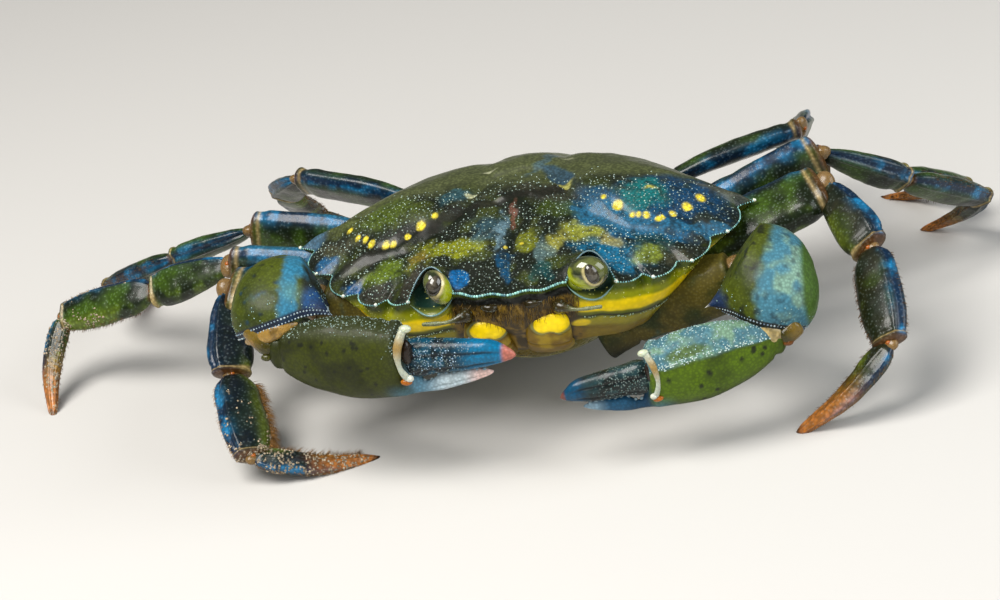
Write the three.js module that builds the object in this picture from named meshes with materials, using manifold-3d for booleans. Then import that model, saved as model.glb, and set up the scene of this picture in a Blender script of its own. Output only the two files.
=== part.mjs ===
// Shore crab (Carcinus maenas), an adult male 60 mm across the shell, standing with both
// claws folded in front of its mouth. Millimetres, +Z up. +X is the crab's left, -Y its front.
// The body is drawn about the middle of the shell, level with its widest teeth. The finished
// group is then moved so that its origin is on the floor, under the middle of the whole crab.
import * as THREE from 'three';
import { mergeVertices } from 'three/addons/utils/BufferGeometryUtils.js';
import Module from 'manifold-3d';

const wasm = await Module();
wasm.setup();

// ---------------------------------------------------------------- driving dimensions
const SHELL_WIDTH = 60; // across the tips of the fifth teeth
const HALF = SHELL_WIDTH / 2;
const FRONT_Y = -21.3; // tip of the middle lobe between the eyes
const REAR_Y = 25; // hind edge of the shell
const FLOOR = -22; // the floor, below the level of the widest teeth
const GAP = 0.3; // clearance between pieces that meet
const [BALL_COLUMNS, BALL_ROWS] = [9, 5]; // faces round and down an eye

const LOBE_PITCH = 4.3; // the three rounded lobes of the front edge
const LOBE_DEPTH = 0.7;
const FRONT_CURVE = 0.03; // how fast the front edge falls back towards the eyes
const ORBIT_INNER_X = 6.4; // the eye notch runs from here to the first tooth
const ORBIT_DEPTH = 3;
const ORBIT_RISE = 2.9; // arch of the notch over the eye

// Tips of the five teeth on the left edge, front to back.
const TEETH = [
  [13.3, -18.3, -0.8],
  [17.8, -16.9, -1.4],
  [22.5, -13.5, -1.3],
  [26.8, -7.4, -0.6],
  [HALF, 0, 0],
];
const TOOTH_BULGE = 0.25; // outer edge of a tooth beyond the chord
const TOOTH_NOTCH = 1.5; // notch in front of the next tooth, inside the chord
const SIDE_CONTROL = [24.5, 7, -1]; // bends the long edge behind the fifth tooth
const REAR_CORNER = [12.2, 23.4, -3];

const DOME_CENTRE = [0, 6.5];
const DOME_HEIGHT = 5.6;
const DOME_POWER = { side: 3.6, front: 1.12, rear: 1.3 }; // full at the sides, sloping fore and aft
const DOME_SOFT = 0.1; // rounds the very top
const DOME_STEPS = [0.15, 0.35, 0.54, 0.72, 0.9]; // rings of the dome, as shares of the outline
const TEETH_FADE = 6; // power of the share with which the teeth fade from the dome
const RELIEF_FADE = [0.9, 1]; // shares over which the relief fades into the edge

// Relief of the dome, mirrored left and right: the furrow that parts the stomach from the
// gills, the one down the middle, and the main swellings. Height is that of the middle.
const FURROWS = [
  {
    line: [[25.4, -10.6], [14.4, -8.4], [9.2, -4.6], [6.6, -1], [5.4, 2.8], [0, 5.2]],
    width: 1.5,
    height: -0.75,
  },
  { line: [[0, -5.2], [0, -20.5]], width: 0.9, height: -0.4 },
  { line: [[5, 4.8], [5, 13], [7, 19]], width: 1.6, height: -0.35 },
];
const SWELLINGS = [
  { at: [3.9, -8.6], radii: [2.8, 4.6], height: 0.7 },
  { at: [0, 0.2], radii: [3.6, 3.4], height: 0.6 },
  { at: [13.4, -2.4], radii: [4.6, 2.8], height: 0.6 },
  { at: [15, -12.6], radii: [3.6, 2.4], height: 0.4 },
  { at: [0, 9.6], radii: [3.6, 4.2], height: 0.45 },
  { at: [15, 9], radii: [8, 8], height: 0.3 },
];

// The shell folds under its edge. Each row gives how far in the fold has come at the side,
// the front and the rear, as a share of the outline, how much of the teeth is left in it, and
// its depth below the edge.
const FOLD = [
  { side: 0.975, front: 0.985, rear: 0.985, teeth: 0.9, drop: 0.7 },
  { side: 0.93, front: 0.99, rear: 0.96, teeth: 0.2, drop: 2.2 },
  { side: 0.84, front: 0.985, rear: 0.92, teeth: 0, drop: 4 },
  { side: 0.66, front: 0.94, rear: 0.86, teeth: 0, drop: 6.4 },
];
const SHELL_BASE = { side: 0.47, front: 0.82, rear: 0.72, z: -10 };

const ORBIT = { at: [10.1, -19, 0.1], radii: [3.2, 3.4, 2.6] };
const EYE = { at: [10.9, -19.3, 1.3], radii: [1.45, 1.5, 1.7] };
const STALK = { path: [[7.4, -17.7, -1.1], [8.6, -18.7, -0.2], [10, -19.1, 0.9]], radius: 1.85 };

// Thorax: half width, front, rear and height of its rings, top to bottom.
const THORAX = [
  { half: 13.2, front: -11, rear: 20, z: SHELL_BASE.z - GAP },
  { half: 13.4, front: -9.8, rear: 20.3, z: -12.2 },
  { half: 12, front: -8, rear: 18.6, z: -14.8 },
  { half: 8.6, front: -5.5, rear: 15.6, z: -16.6 },
  { half: 5, front: -3, rear: 12, z: -17.1 },
];

// Walking legs 2 to 5. lengths: upper leg (coxa, ischium and merus), carpus, propodus, dactyl.
// heights: greatest height of each of the four. flat: thickness as a share of that height.
const PAIRS = {
  2: { hip: [12, -4.8, -10.8], lengths: [30, 13, 14.5, 16.5], heights: [8.2, 5.8, 5.8, 3.3], flat: 0.56 },
  3: { hip: [12.8, 2.3, -10.5], lengths: [29.5, 13, 16, 14.5], heights: [7, 5.4, 5.2, 3], flat: 0.56 },
  4: { hip: [12.3, 9.7, -9.4], lengths: [28.5, 12.5, 15.5, 16.5], heights: [6.4, 5, 4.8, 2.8], flat: 0.56 },
  5: { hip: [10.5, 17, -7], lengths: [26.5, 10.5, 13, 14], heights: [6.2, 4.9, 4.6, 2.6], flat: 0.52 },
};
// Pose: heading (0 straight out sideways, 90 straight back) and elevation, in degrees, of the
// upper leg, the carpus and the propodus, then the heading in which the dactyl goes down.
const POSES = [
  { pair: 2, side: 'left', turns: [[17, 20], [-63, -20], [-82, -31]], dactyl: -167 },
  { pair: 3, side: 'left', turns: [[20, 22], [20, -32], [46, -31]], dactyl: 139 },
  { pair: 4, side: 'left', turns: [[18, 12], [35, -28], [55, -30]], dactyl: 140 },
  { pair: 5, side: 'left', turns: [[15, 14], [95, -24], [102, -26]], dactyl: 150 },
  { pair: 2, side: 'right', turns: [[11, 10], [-95, -33], [-107, -23]], dactyl: 165 },
  { pair: 3, side: 'right', turns: [[6, 13], [14, -18], [16, -16]], dactyl: -83 },
  { pair: 4, side: 'right', turns: [[9, 13], [10, -17], [30, -25]], dactyl: 100 },
  { pair: 5, side: 'right', turns: [[21, 12], [60, -30], [100, -38]], dactyl: 150 },
];
const LEG_ARCH = 1.2; // rise of the upper leg above its chord, at the ischium
const ISCHIUM = 0.34; // where along the upper leg that is
const DACTYL_BOW = 1.1; // outward curve of a dactyl
const FOOT_SINK = 0.35; // a dactyl's drawn tip is this far below the floor, and cut flat there

// Stations along a piece: share of its length, then share of its greatest height.
const UPPER_LEG = [[0, 0.6], [0.3, 0.74], [0.5, 0.96], [0.8, 1], [0.95, 0.9], [1, 0.72]];
const CARPUS = [[0, 0.34], [0.2, 0.7], [0.7, 1], [1, 0.8]];
const PROPODUS = [[0, 0.4], [0.15, 0.84], [0.7, 1], [1, 0.72]];
const DACTYL = [[0, 0.5], [0.16, 0.98], [0.6, 0.76], [1, 0.26]];

// Claws: the joints along each arm, the crab's left one first. wide is the height of the palm.
const CLAWS = {
  left: {
    coxa: [9, -10.2, -12.6], elbow: [27.6, -9.6, -5.6], wrist: [33.8, -22.4, -8.4],
    knuckle: [16.8, -26.2, -10.2], tip: [5.6, -27.6, -11.4],
    carpusLift: 3.9, tooth: [23.9, -20.6, -4.6], palmHeight: 9.8, fingerOpen: 0.25,
  },
  right: {
    coxa: [-9, -10.2, -12.6], elbow: [-26.8, -9.6, -3.6], wrist: [-31.2, -22.8, -3.2],
    knuckle: [-13.4, -26.2, -4.5], tip: [0.6, -27.6, -4.9],
    carpusLift: 3, tooth: [-22.3, -21.2, -0.2], palmHeight: 11, fingerOpen: 0.3,
  },
};
const ARM = { height: 7.4, flat: 0.8 };
const ARM_STATIONS = [[0, 0.8], [0.22, 0.68], [0.36, 0.74], [0.7, 1], [0.92, 0.96], [1, 0.74]];
const CLAW_CARPUS = { height: 12, flat: 1 };
const CLAW_CARPUS_STATIONS = [[0, 0.4], [0.1, 0.66], [0.32, 0.94], [0.6, 1], [0.85, 0.82], [1, 0.5]];
const PALM_FLAT = 0.66; // thickness of the palm as a share of its height
// Palm and fixed finger: distance along the palm (1 is the knuckle, 2 the finger tip), height,
// and how far the middle of the section is below the axis, both as shares of the palm height.
const PALM_STATIONS = [
  [0, 0.3, 0.02], [0.08, 0.42, 0.02], [0.25, 0.7, 0.02], [0.45, 0.9, 0.02], [0.65, 0.97, 0.03],
  [0.88, 0.9, 0.03], [1, 0.8, 0.05], [1.07, 0.38, 0.25], [1.35, 0.2, 0.3], [1.6, 0.15, 0.24],
  [1.8, 0.06, 0.2],
];
// Moving finger, the same way: its base is the knuckle at 1.
const FINGER_STATIONS = [
  [0.97, 0.3, -0.02], [1.05, 0.42, -0.01], [1.3, 0.41, -0.01],
  [1.6, 0.36, -0.01], [1.85, 0.26, -0.01], [2.02, 0.07, 0.03],
];
const FINGER_FLAT = 0.72;

// ---------------------------------------------------------------- geometry helpers
const vec = (p) => new THREE.Vector3(...p);
const mirrored = (p) => [-p[0], p[1], p[2]];
const mix = (a, b, t) => a + (b - a) * t;
const smooth = (lo, hi, x) => THREE.MathUtils.smoothstep(x, lo, hi);

/** A closed body through rings of equal count, with a fan over each end. */
function closedLoft(rings) {
  const count = rings[0].length;
  const points = rings.flat();
  const faces = [];
  for (let ring = 0; ring + 1 < rings.length; ring++) {
    for (let k = 0; k < count; k++) {
      const a = ring * count + k;
      const b = ring * count + ((k + 1) % count);
      faces.push(a, b, b + count, a, b + count, a + count);
    }
  }
  for (const [ring, flip] of [[0, true], [rings.length - 1, false]]) {
    const middle = new THREE.Vector3();
    rings[ring].forEach((p) => middle.addScaledVector(p, 1 / count));
    const hub = points.push(middle) - 1;
    for (let k = 0; k < count; k++) {
      const a = ring * count + k;
      const b = ring * count + ((k + 1) % count);
      faces.push(...(flip ? [hub, b, a] : [hub, a, b]));
    }
  }
  return facingOut(points, faces);
}

/** Geometry from points and triangles, turned so that its faces point outwards. */
function facingOut(points, faces) {
  let volume = 0;
  for (let k = 0; k < faces.length; k += 3) {
    const [a, b, c] = [points[faces[k]], points[faces[k + 1]], points[faces[k + 2]]];
    volume += a.dot(new THREE.Vector3().crossVectors(b, c));
  }
  const geometry = new THREE.BufferGeometry().setFromPoints(points);
  geometry.setIndex(volume < 0 ? [...faces].reverse() : faces);
  return geometry;
}

/** A ring of points about centre: an ellipse of half sizes a along side and b along wide. */
function ellipseRing(centre, side, wide, a, b, count) {
  return Array.from({ length: count }, (_, k) => {
    const angle = (2 * Math.PI * k) / count;
    const [across, along] = [a * Math.cos(angle), b * Math.sin(angle)];
    return centre.clone().addScaledVector(side, across).addScaledVector(wide, along);
  });
}

/**
 * A limb piece: elliptical sections along a curve. wide is the direction of their greater
 * size, height that size, flat their thickness as a share of it. grow swells the whole piece.
 */
function limb({ path, wide, stations, height, flat, sides = 8 }, grow = 0) {
  const curve = new THREE.CatmullRomCurve3(path);
  const rings = stations.map(([share, size], index) => {
    const tangent = curve.getTangentAt(share);
    const across = wide.clone().addScaledVector(tangent, -wide.dot(tangent)).normalize();
    const side = new THREE.Vector3().crossVectors(tangent, across);
    const centre = curve.getPointAt(share);
    if (index === 0) centre.addScaledVector(tangent, -grow);
    if (index === stations.length - 1) centre.addScaledVector(tangent, grow);
    const half = (height * size) / 2;
    return ellipseRing(centre, side, across, half * flat + grow, half + grow, sides);
  });
  return closedLoft(rings);
}

/** An ellipsoid with its poles along Z. */
function ellipsoid(at, radii, grow = 0) {
  const ball = new THREE.SphereGeometry(1, BALL_COLUMNS, BALL_ROWS);
  return ball.scale(...radii.map((r) => r + grow)).translate(...at);
}

function toSolid(geometry) {
  const bare = geometry.clone();
  bare.deleteAttribute('normal');
  bare.deleteAttribute('uv');
  const welded = mergeVertices(bare, 1e-4);
  return new wasm.Manifold(new wasm.Mesh({
    numProp: 3,
    vertProperties: new Float32Array(welded.attributes.position.array),
    triVerts: new Uint32Array(welded.index.array),
  }));
}

function toGeometry(solid) {
  const { vertProperties, triVerts } = solid.getMesh();
  const geometry = new THREE.BufferGeometry();
  geometry.setAttribute('position', new THREE.BufferAttribute(vertProperties, 3));
  geometry.setIndex(new THREE.BufferAttribute(triVerts, 1));
  return geometry;
}

/** The largest body of a solid that a cut may have left in several. */
function largest(solid) {
  return solid.decompose().reduce((best, body) => (body.volume() > best.volume() ? body : best));
}

// ---------------------------------------------------------------- shell
/**
 * Left half of the shell's edge, from the middle of the front to the middle of the rear.
 * notch is 1 for the edge itself and 0 for the edge without its eye notch.
 */
function halfOutline(notch) {
  const points = [];
  for (let x = 0; x < ORBIT_INNER_X; x += LOBE_PITCH / 3) {
    const scallop = (LOBE_DEPTH / 2) * (1 - Math.cos((2 * Math.PI * x) / LOBE_PITCH));
    points.push([x, FRONT_Y + scallop + FRONT_CURVE * x * x, 0.3]);
  }
  const inner = points[points.length - 1];
  for (const share of [0.15, 0.35, 0.6, 0.85]) {
    const arch = notch * Math.sin(Math.PI * share);
    const [x, y, z] = inner.map((value, axis) => mix(value, TEETH[0][axis], share));
    points.push([x, y + ORBIT_DEPTH * arch, z + ORBIT_RISE * arch]);
  }
  TEETH.slice(0, -1).forEach((tip, index) => {
    const next = TEETH[index + 1];
    const chord = [next[0] - tip[0], next[1] - tip[1]];
    const length = Math.hypot(...chord);
    const along = (share, out) => [
      tip[0] + chord[0] * share + (chord[1] / length) * out,
      tip[1] + chord[1] * share - (chord[0] / length) * out,
      mix(tip[2], next[2], share),
    ];
    points.push(tip, along(0.38, TOOTH_BULGE), along(0.74, -TOOTH_NOTCH));
  });
  const side = new THREE.QuadraticBezierCurve3(vec(TEETH[4]), vec(SIDE_CONTROL), vec(REAR_CORNER));
  side.getPoints(5).forEach((p) => points.push(p.toArray()));
  for (const share of [0.3, 0.65, 1]) {
    const turn = (Math.PI / 2) * share;
    const y = mix(REAR_CORNER[1], REAR_Y, Math.sin(turn));
    points.push([REAR_CORNER[0] * (1 - share), y, REAR_CORNER[2] + 0.3 * share]);
  }
  return points;
}

/** The outline with its teeth rounded off, by averaging each point with its neighbours. */
function rounded(outline, passes = 5) {
  let loop = outline;
  for (let pass = 0; pass < passes; pass++) {
    const at = (k) => loop[(k + loop.length) % loop.length];
    loop = loop.map((p, k) => p.map((value, axis) => (at(k - 1)[axis] + 2 * value + at(k + 1)[axis]) / 4));
  }
  return loop;
}

/** Distance from a place to a line of points, in plan. */
function distanceTo(line, x, y) {
  return line.slice(1).reduce((best, end, index) => {
    const [start, along] = [line[index], [end[0] - line[index][0], end[1] - line[index][1]]];
    const share = ((x - start[0]) * along[0] + (y - start[1]) * along[1]) / (along[0] ** 2 + along[1] ** 2);
    const t = THREE.MathUtils.clamp(share, 0, 1);
    return Math.min(best, Math.hypot(x - start[0] - along[0] * t, y - start[1] - along[1] * t));
  }, Infinity);
}

/** Height that the furrows and swellings add to the dome at a place. */
function relief(x, y) {
  const side = Math.abs(x);
  let height = 0;
  for (const furrow of FURROWS) {
    height += furrow.height * Math.exp(-((distanceTo(furrow.line, side, y) / furrow.width) ** 2));
  }
  for (const { at, radii, height: top } of SWELLINGS) {
    height += top * Math.exp(-(((side - at[0]) / radii[0]) ** 2) - ((y - at[1]) / radii[1]) ** 2);
  }
  return height;
}

function shellShape() {
  const [outline, lower] = [1, 0].map((notch) => {
    const half = halfOutline(notch);
    return [...half, ...half.slice(1, -1).reverse().map(mirrored)];
  });
  const toothless = rounded(lower);
  const [centreX, centreY] = DOME_CENTRE;
  const facing = outline.map(([x, y]) => {
    const cosine = (y - centreY) / Math.hypot(x - centreX, y - centreY);
    return { front: smooth(0.4, 0.88, -cosine), rear: smooth(0.2, 0.85, cosine) };
  });
  const ring = (edge, teeth, scaleOf, heightOf) => outline.map((_, k) => {
    const scale = scaleOf(facing[k]);
    const [x, y, z] = toothless[k].map((value, axis) => mix(value, edge[k][axis], teeth));
    const place = [centreX + (x - centreX) * scale, centreY + (y - centreY) * scale];
    return vec([...place, heightOf(z, place, facing[k])]);
  });
  const blend = (row) => ({ front, rear }) => mix(mix(row.side, row.front, front), row.rear, rear);
  const domeRing = (scale) => ring(outline, scale ** TEETH_FADE, () => scale, (z, place, way) => {
    const power = blend(DOME_POWER)(way) / 2;
    const fall = (scale * scale + DOME_SOFT) ** power - DOME_SOFT ** power;
    const full = (1 + DOME_SOFT) ** power - DOME_SOFT ** power;
    const raised = relief(...place) * (1 - smooth(...RELIEF_FADE, scale));
    return z * scale * scale + DOME_HEIGHT * (1 - fall / full) + raised;
  });
  const rings = [...DOME_STEPS, 1].map(domeRing);
  FOLD.forEach((row) => rings.push(ring(lower, row.teeth, blend(row), (z) => z - row.drop)));
  rings.push(ring(lower, 0, blend(SHELL_BASE), () => SHELL_BASE.z));
  let solid = toSolid(closedLoft(rings));
  for (const at of [ORBIT.at, mirrored(ORBIT.at)]) {
    solid = solid.subtract(toSolid(ellipsoid(at, ORBIT.radii)));
  }
  return solid;
}

// ---------------------------------------------------------------- under side and face
function thoraxShape() {
  const sides = 16;
  const rings = THORAX.map(({ half, front, rear, z }) => {
    const centre = vec([0, (front + rear) / 2, z]);
    return ellipseRing(centre, vec([1, 0, 0]), vec([0, 1, 0]), half, (rear - front) / 2, sides);
  });
  return closedLoft(rings);
}

/** The tail, folded flat under the thorax: a triangular plate from the shell's rear edge. */
function abdomenShape(grow) {
  const path = [[0, 23, -5], [0, 22.6, -10.8], [0, 17.5, -16.2], [0, 9, -18], [0, -2.5, -17.6]].map(vec);
  const stations = [[0, 0.9], [0.2, 1], [0.45, 0.86], [0.7, 0.56], [0.88, 0.4], [1, 0.16]];
  return limb({ path, wide: vec([1, 0, 0]), stations, height: 17, flat: 0.11, sides: 12 }, grow);
}

/** One outer mouth plate: an upright oblong below the front, with a hinged inner end on top. */
function maxillipedShape(side, grow) {
  const path = [[3.4, -12.6, -10.4], [3.6, -16.6, -9.3], [3.8, -18.9, -7.2], [3.9, -19.3, -4.3]];
  const stations = [[0, 0.62], [0.15, 0.9], [0.55, 1], [0.85, 0.98], [1, 0.7]];
  const curve = path.map(([x, y, z]) => vec([side * x, y, z]));
  return limb({ path: curve, wide: vec([1, 0, 0]), stations, height: 6, flat: 0.34 }, grow);
}

function antennuleShape(side, grow) {
  const path = [[1.2, -19.2, -1.9], [2.6, -20.4, -1.7], [4, -20.1, -1.6]];
  const stations = [[0, 0.6], [0.3, 1], [0.7, 0.9], [1, 0.5]];
  const curve = path.map(([x, y, z]) => vec([side * x, y, z]));
  return limb({ path: curve, wide: vec([0, 0, 1]), stations, height: 1.5, flat: 0.9, sides: 6 }, grow);
}

function antennaShape(side, grow) {
  const path = [[5.7, -18.6, -3], [6.1, -20.2, -2.5], [8, -21.2, -2.6], [11.5, -21, -2.7]];
  const stations = [[0, 0.8], [0.2, 1], [0.35, 0.6], [0.45, 0.36], [0.8, 0.32], [1, 0.28]];
  const curve = path.map(([x, y, z]) => vec([side * x, y, z]));
  return limb({ path: curve, wide: vec([0, 0, 1]), stations, height: 1.9, flat: 1, sides: 6 }, grow);
}

function stalkShape(side, grow) {
  const path = STALK.path.map(([x, y, z]) => vec([side * x, y, z]));
  const stations = [[0, 0.8], [0.5, 0.96], [0.85, 1], [1, 0.8]];
  return limb({ path, wide: vec([0, 0, 1]), stations, height: 2 * STALK.radius, flat: 1 }, grow);
}

// ---------------------------------------------------------------- limbs
/** Unit vector of a heading and an elevation in degrees, on the crab's left or right. */
function direction(sign, heading, elevation) {
  const [turn, rise] = [heading, elevation].map(THREE.MathUtils.degToRad);
  return vec([sign * Math.cos(turn) * Math.cos(rise), Math.sin(turn) * Math.cos(rise), Math.sin(rise)]);
}

/** The part of one direction that is square to another, as a unit vector. */
function squareTo(along, other) {
  return other.clone().addScaledVector(along, -other.dot(along)).normalize();
}

/** The four pieces of a walking leg, from the hip down to the flat under the dactyl's tip. */
function walkingLeg({ pair, side, turns, dactyl }) {
  const sign = side === 'left' ? 1 : -1;
  const { hip, lengths, heights, flat } = PAIRS[pair];
  const joints = [vec([sign * hip[0], hip[1], hip[2]])];
  const ways = turns.map(([heading, elevation]) => direction(sign, heading, elevation));
  ways.forEach((way, k) => joints.push(joints[k].clone().addScaledVector(way, lengths[k])));
  const fall = Math.asin((joints[3].z - FLOOR + FOOT_SINK) / lengths[3]);
  ways.push(direction(sign, dactyl, -THREE.MathUtils.radToDeg(fall)));
  joints.push(joints[3].clone().addScaledVector(ways[3], lengths[3]));

  const knee = joints[0].clone().lerp(joints[1], ISCHIUM);
  knee.z += LEG_ARCH;
  const bend = (k) => squareTo(ways[k], ways[k + 1]).negate();
  const outward = squareTo(ways[3], ways[2]);
  const curl = joints[3].clone().lerp(joints[4], 0.5).addScaledVector(outward, DACTYL_BOW);
  const pieces = [
    { name: 'merus', path: [joints[0], knee, joints[1]], wide: bend(0), stations: UPPER_LEG },
    { name: 'carpus', path: [joints[1], joints[2]], wide: bend(2), stations: CARPUS },
    { name: 'propodus', path: [joints[2], joints[3]], wide: bend(2), stations: PROPODUS },
    { name: 'dactyl', path: [joints[3], curl, joints[4]], wide: outward, stations: DACTYL, sides: 6 },
  ];
  const named = (name) => `leg${pair}_${side}_${name}`;
  return pieces.map((piece, k) => ({ ...piece, name: named(piece.name), height: heights[k], flat }));
}

/** Sections placed along the palm and finger axis, with their middles moved across it. */
function clawBlade(claw, stations, thickness, lift, grow) {
  const [wrist, knuckle, tip] = [claw.wrist, claw.knuckle, claw.tip].map(vec);
  const along = tip.clone().sub(wrist).normalize();
  const up = squareTo(along, vec([0, 0, 1]));
  const side = new THREE.Vector3().crossVectors(along, up);
  const rings = stations.map(([place, size, drop], index) => {
    const centre = place < 1 ? wrist.clone().lerp(knuckle, place) : knuckle.clone().lerp(tip, place - 1);
    centre.addScaledVector(up, claw.palmHeight * (lift * (place - 1) - drop));
    if (index === 0) centre.addScaledVector(along, -grow);
    if (index === stations.length - 1) centre.addScaledVector(along, grow);
    const half = (claw.palmHeight * size) / 2;
    return ellipseRing(centre, side, up, half * thickness + grow, half + grow, 10);
  });
  return closedLoft(rings);
}

/** The claw's wrist piece: a swollen block with a pointed tooth on its inner corner. */
function clawCarpusShape(claw, grow) {
  const [elbow, wrist, tooth] = [claw.elbow, claw.wrist, claw.tooth].map(vec);
  const middle = elbow.clone().lerp(wrist, 0.45);
  middle.z += claw.carpusLift;
  middle.x += Math.sign(elbow.x) * 0.8;
  const { height, flat } = CLAW_CARPUS;
  const block = limb({
    path: [elbow, middle, wrist],
    wide: vec([0, 0, 1]),
    stations: CLAW_CARPUS_STATIONS,
    height,
    flat,
    sides: 10,
  }, grow);
  const stations = [[0, 1], [0.5, 0.72], [0.9, 0.25], [1, 0.12]];
  const spine = limb({ path: [middle, tooth], wide: vec([0, 0, 1]), stations, height: 6, flat: 0.9 }, grow);
  return toSolid(block).add(toSolid(spine));
}

// ---------------------------------------------------------------- the list of pieces
// Each piece makes room for every later one that it meets, so the order runs from the shell
// outwards along each limb.
const finish = (color, roughness) => new THREE.MeshStandardMaterial({ color, roughness, metalness: 0 });
const SHELL = finish(0x3f4a2c, 0.4);
const BELLY = finish(0xa8a15a, 0.5);
const CLAW = finish(0x4d5526, 0.4);
const FINGER = finish(0x22303c, 0.4);
const LEG = finish(0x3a4526, 0.45);
const LEG_TIP = finish(0x8a5a28, 0.5);
const EYE_BLACK = finish(0x2a2622, 0.15);

const pieces = [];
const add = (name, material, shape) => pieces.push({ name, material, shape });
const asSolid = (geometryOf) => (grow) => toSolid(geometryOf(grow));

add('carapace', SHELL, shellShape);
add('thorax', BELLY, asSolid(thoraxShape));
add('abdomen', BELLY, asSolid(abdomenShape));
for (const [side, sign] of [['left', 1], ['right', -1]]) {
  add(`maxilliped_${side}`, BELLY, asSolid((grow) => maxillipedShape(sign, grow)));
  add(`antennule_${side}`, BELLY, asSolid((grow) => antennuleShape(sign, grow)));
  add(`antenna_${side}`, BELLY, asSolid((grow) => antennaShape(sign, grow)));
  add(`eyestalk_${side}`, BELLY, asSolid((grow) => stalkShape(sign, grow)));
  const eyeAt = sign > 0 ? EYE.at : mirrored(EYE.at);
  add(`eye_${side}`, EYE_BLACK, asSolid((grow) => ellipsoid(eyeAt, EYE.radii, grow)));
}
for (const [side, claw] of Object.entries(CLAWS)) {
  const [coxa, elbow] = [claw.coxa, claw.elbow].map(vec);
  const arm = { path: [coxa, elbow], wide: vec([0, 0, 1]), stations: ARM_STATIONS, ...ARM };
  add(`claw_${side}_merus`, CLAW, asSolid((grow) => limb(arm, grow)));
  add(`claw_${side}_carpus`, CLAW, (grow) => clawCarpusShape(claw, grow));
  add(`claw_${side}_palm`, CLAW, asSolid((grow) => clawBlade(claw, PALM_STATIONS, PALM_FLAT, 0, grow)));
  add(`claw_${side}_finger`, FINGER, asSolid((grow) => (
    clawBlade(claw, FINGER_STATIONS, FINGER_FLAT, claw.fingerOpen / 10, grow)
  )));
}
for (const pose of POSES) {
  for (const piece of walkingLeg(pose)) {
    const material = piece.name.endsWith('dactyl') ? LEG_TIP : LEG;
    add(piece.name, material, asSolid((grow) => limb(piece, grow)));
  }
}

// ---------------------------------------------------------------- fitting and assembly
const underfloor = toSolid(new THREE.BoxGeometry(400, 400, 20).translate(0, 0, FLOOR - 10));
const below = (low, high) => low.every((value, k) => value < high[k]);
const boxesMeet = (a, b) => below(a.min, b.max) && below(b.min, a.max);

for (const piece of pieces) piece.grown = piece.shape(GAP);

const group = new THREE.Group();
pieces.forEach((piece, index) => {
  let solid = piece.shape(0);
  for (const later of pieces.slice(index + 1)) {
    if (boxesMeet(solid.boundingBox(), later.grown.boundingBox())) solid = solid.subtract(later.grown);
  }
  solid = largest(solid.subtract(underfloor));
  const mesh = new THREE.Mesh(toGeometry(solid), piece.material);
  mesh.name = piece.name;
  group.add(mesh);
});

const box = new THREE.Box3().setFromObject(group);
const middle = box.getCenter(new THREE.Vector3());
group.position.set(-middle.x, -middle.y, -box.min.z);

export default group;
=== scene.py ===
"""A shore crab as a still museum model: wet, granular shell plates over a fixed CAD frame.

Shapes are worked out in the crab's own frame, in millimetres: zero midway between the tips
of the two widest shell teeth, +X the crab's left, -Y its front, +Z up. Form.piece turns them
into Blender's metres in the shared frame. Every vertex carries a Tint (colour, and in its
alpha how granular the surface is), and the materials add the fine detail by nodes.
"""

import bpy
import numpy as np
from mathutils import Matrix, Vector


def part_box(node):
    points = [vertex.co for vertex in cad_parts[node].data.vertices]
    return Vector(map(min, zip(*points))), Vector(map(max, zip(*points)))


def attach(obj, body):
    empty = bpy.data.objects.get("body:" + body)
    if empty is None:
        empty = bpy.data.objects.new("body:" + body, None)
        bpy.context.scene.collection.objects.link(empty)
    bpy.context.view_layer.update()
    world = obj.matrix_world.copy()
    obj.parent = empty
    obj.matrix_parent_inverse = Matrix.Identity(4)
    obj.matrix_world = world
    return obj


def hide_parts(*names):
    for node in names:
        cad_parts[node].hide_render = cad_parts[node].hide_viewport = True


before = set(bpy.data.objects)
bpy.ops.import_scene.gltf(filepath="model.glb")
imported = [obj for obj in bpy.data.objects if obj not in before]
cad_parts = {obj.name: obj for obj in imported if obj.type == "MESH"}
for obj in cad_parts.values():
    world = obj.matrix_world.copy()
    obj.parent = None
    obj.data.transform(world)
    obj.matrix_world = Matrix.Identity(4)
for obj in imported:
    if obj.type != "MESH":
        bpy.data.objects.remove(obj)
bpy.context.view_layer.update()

MM = 0.001
FRONT_Y = -21.3
BASE_Z = -10.0
FLOOR_Z = -22.0
shell_low, shell_high = (np.array(corner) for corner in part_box("carapace"))
ORIGIN = np.array([
    (shell_low[0] + shell_high[0]) / 2,
    shell_low[1] - FRONT_Y * MM,
    shell_low[2] - BASE_Z * MM,
])
HALF = (shell_high[0] - shell_low[0]) / 2 / MM
X, Y, Z = np.eye(3)
random = np.random.default_rng(8)
LATTICE = random.uniform(-1, 1, (32, 32, 32))


# ------------------------------------------------------------------ small mathematics
def unit(v):
    """Vectors over their own lengths."""
    return v / np.maximum(np.linalg.norm(v, axis=-1, keepdims=True), 1e-9)


def smooth(low, high, x):
    """0 below low, 1 above high, and an S-shaped rise 3t^2 - 2t^3 between them."""
    t = np.clip((x - low) / (high - low), 0, 1)
    return t * t * (3 - 2 * t)


def mix(a, b, t):
    """A straight blend: a where t is 0, b where t is 1."""
    return a + (b - a) * t


def bump(x, centre, width):
    """A Gaussian: exp(-((x - centre) / width)^2)."""
    return np.exp(-((x - centre) / width) ** 2)


def rgb(red, green, blue):
    """Linear colour from screen values 0 to 255."""
    value = np.array([red, green, blue]) / 255
    return np.where(value <= 0.04045, value / 12.92, ((value + 0.055) / 1.055) ** 2.4)


def paint(tint, colour, mask):
    """Lays a colour over a tint where the mask is 1."""
    return tint + (colour - tint) * mask[..., None]


def layered(tint, *layers):
    """Lays (colour, mask) pairs over a tint in turn."""
    for colour, mask in layers:
        tint = paint(tint, colour, mask)
    return tint


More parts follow.
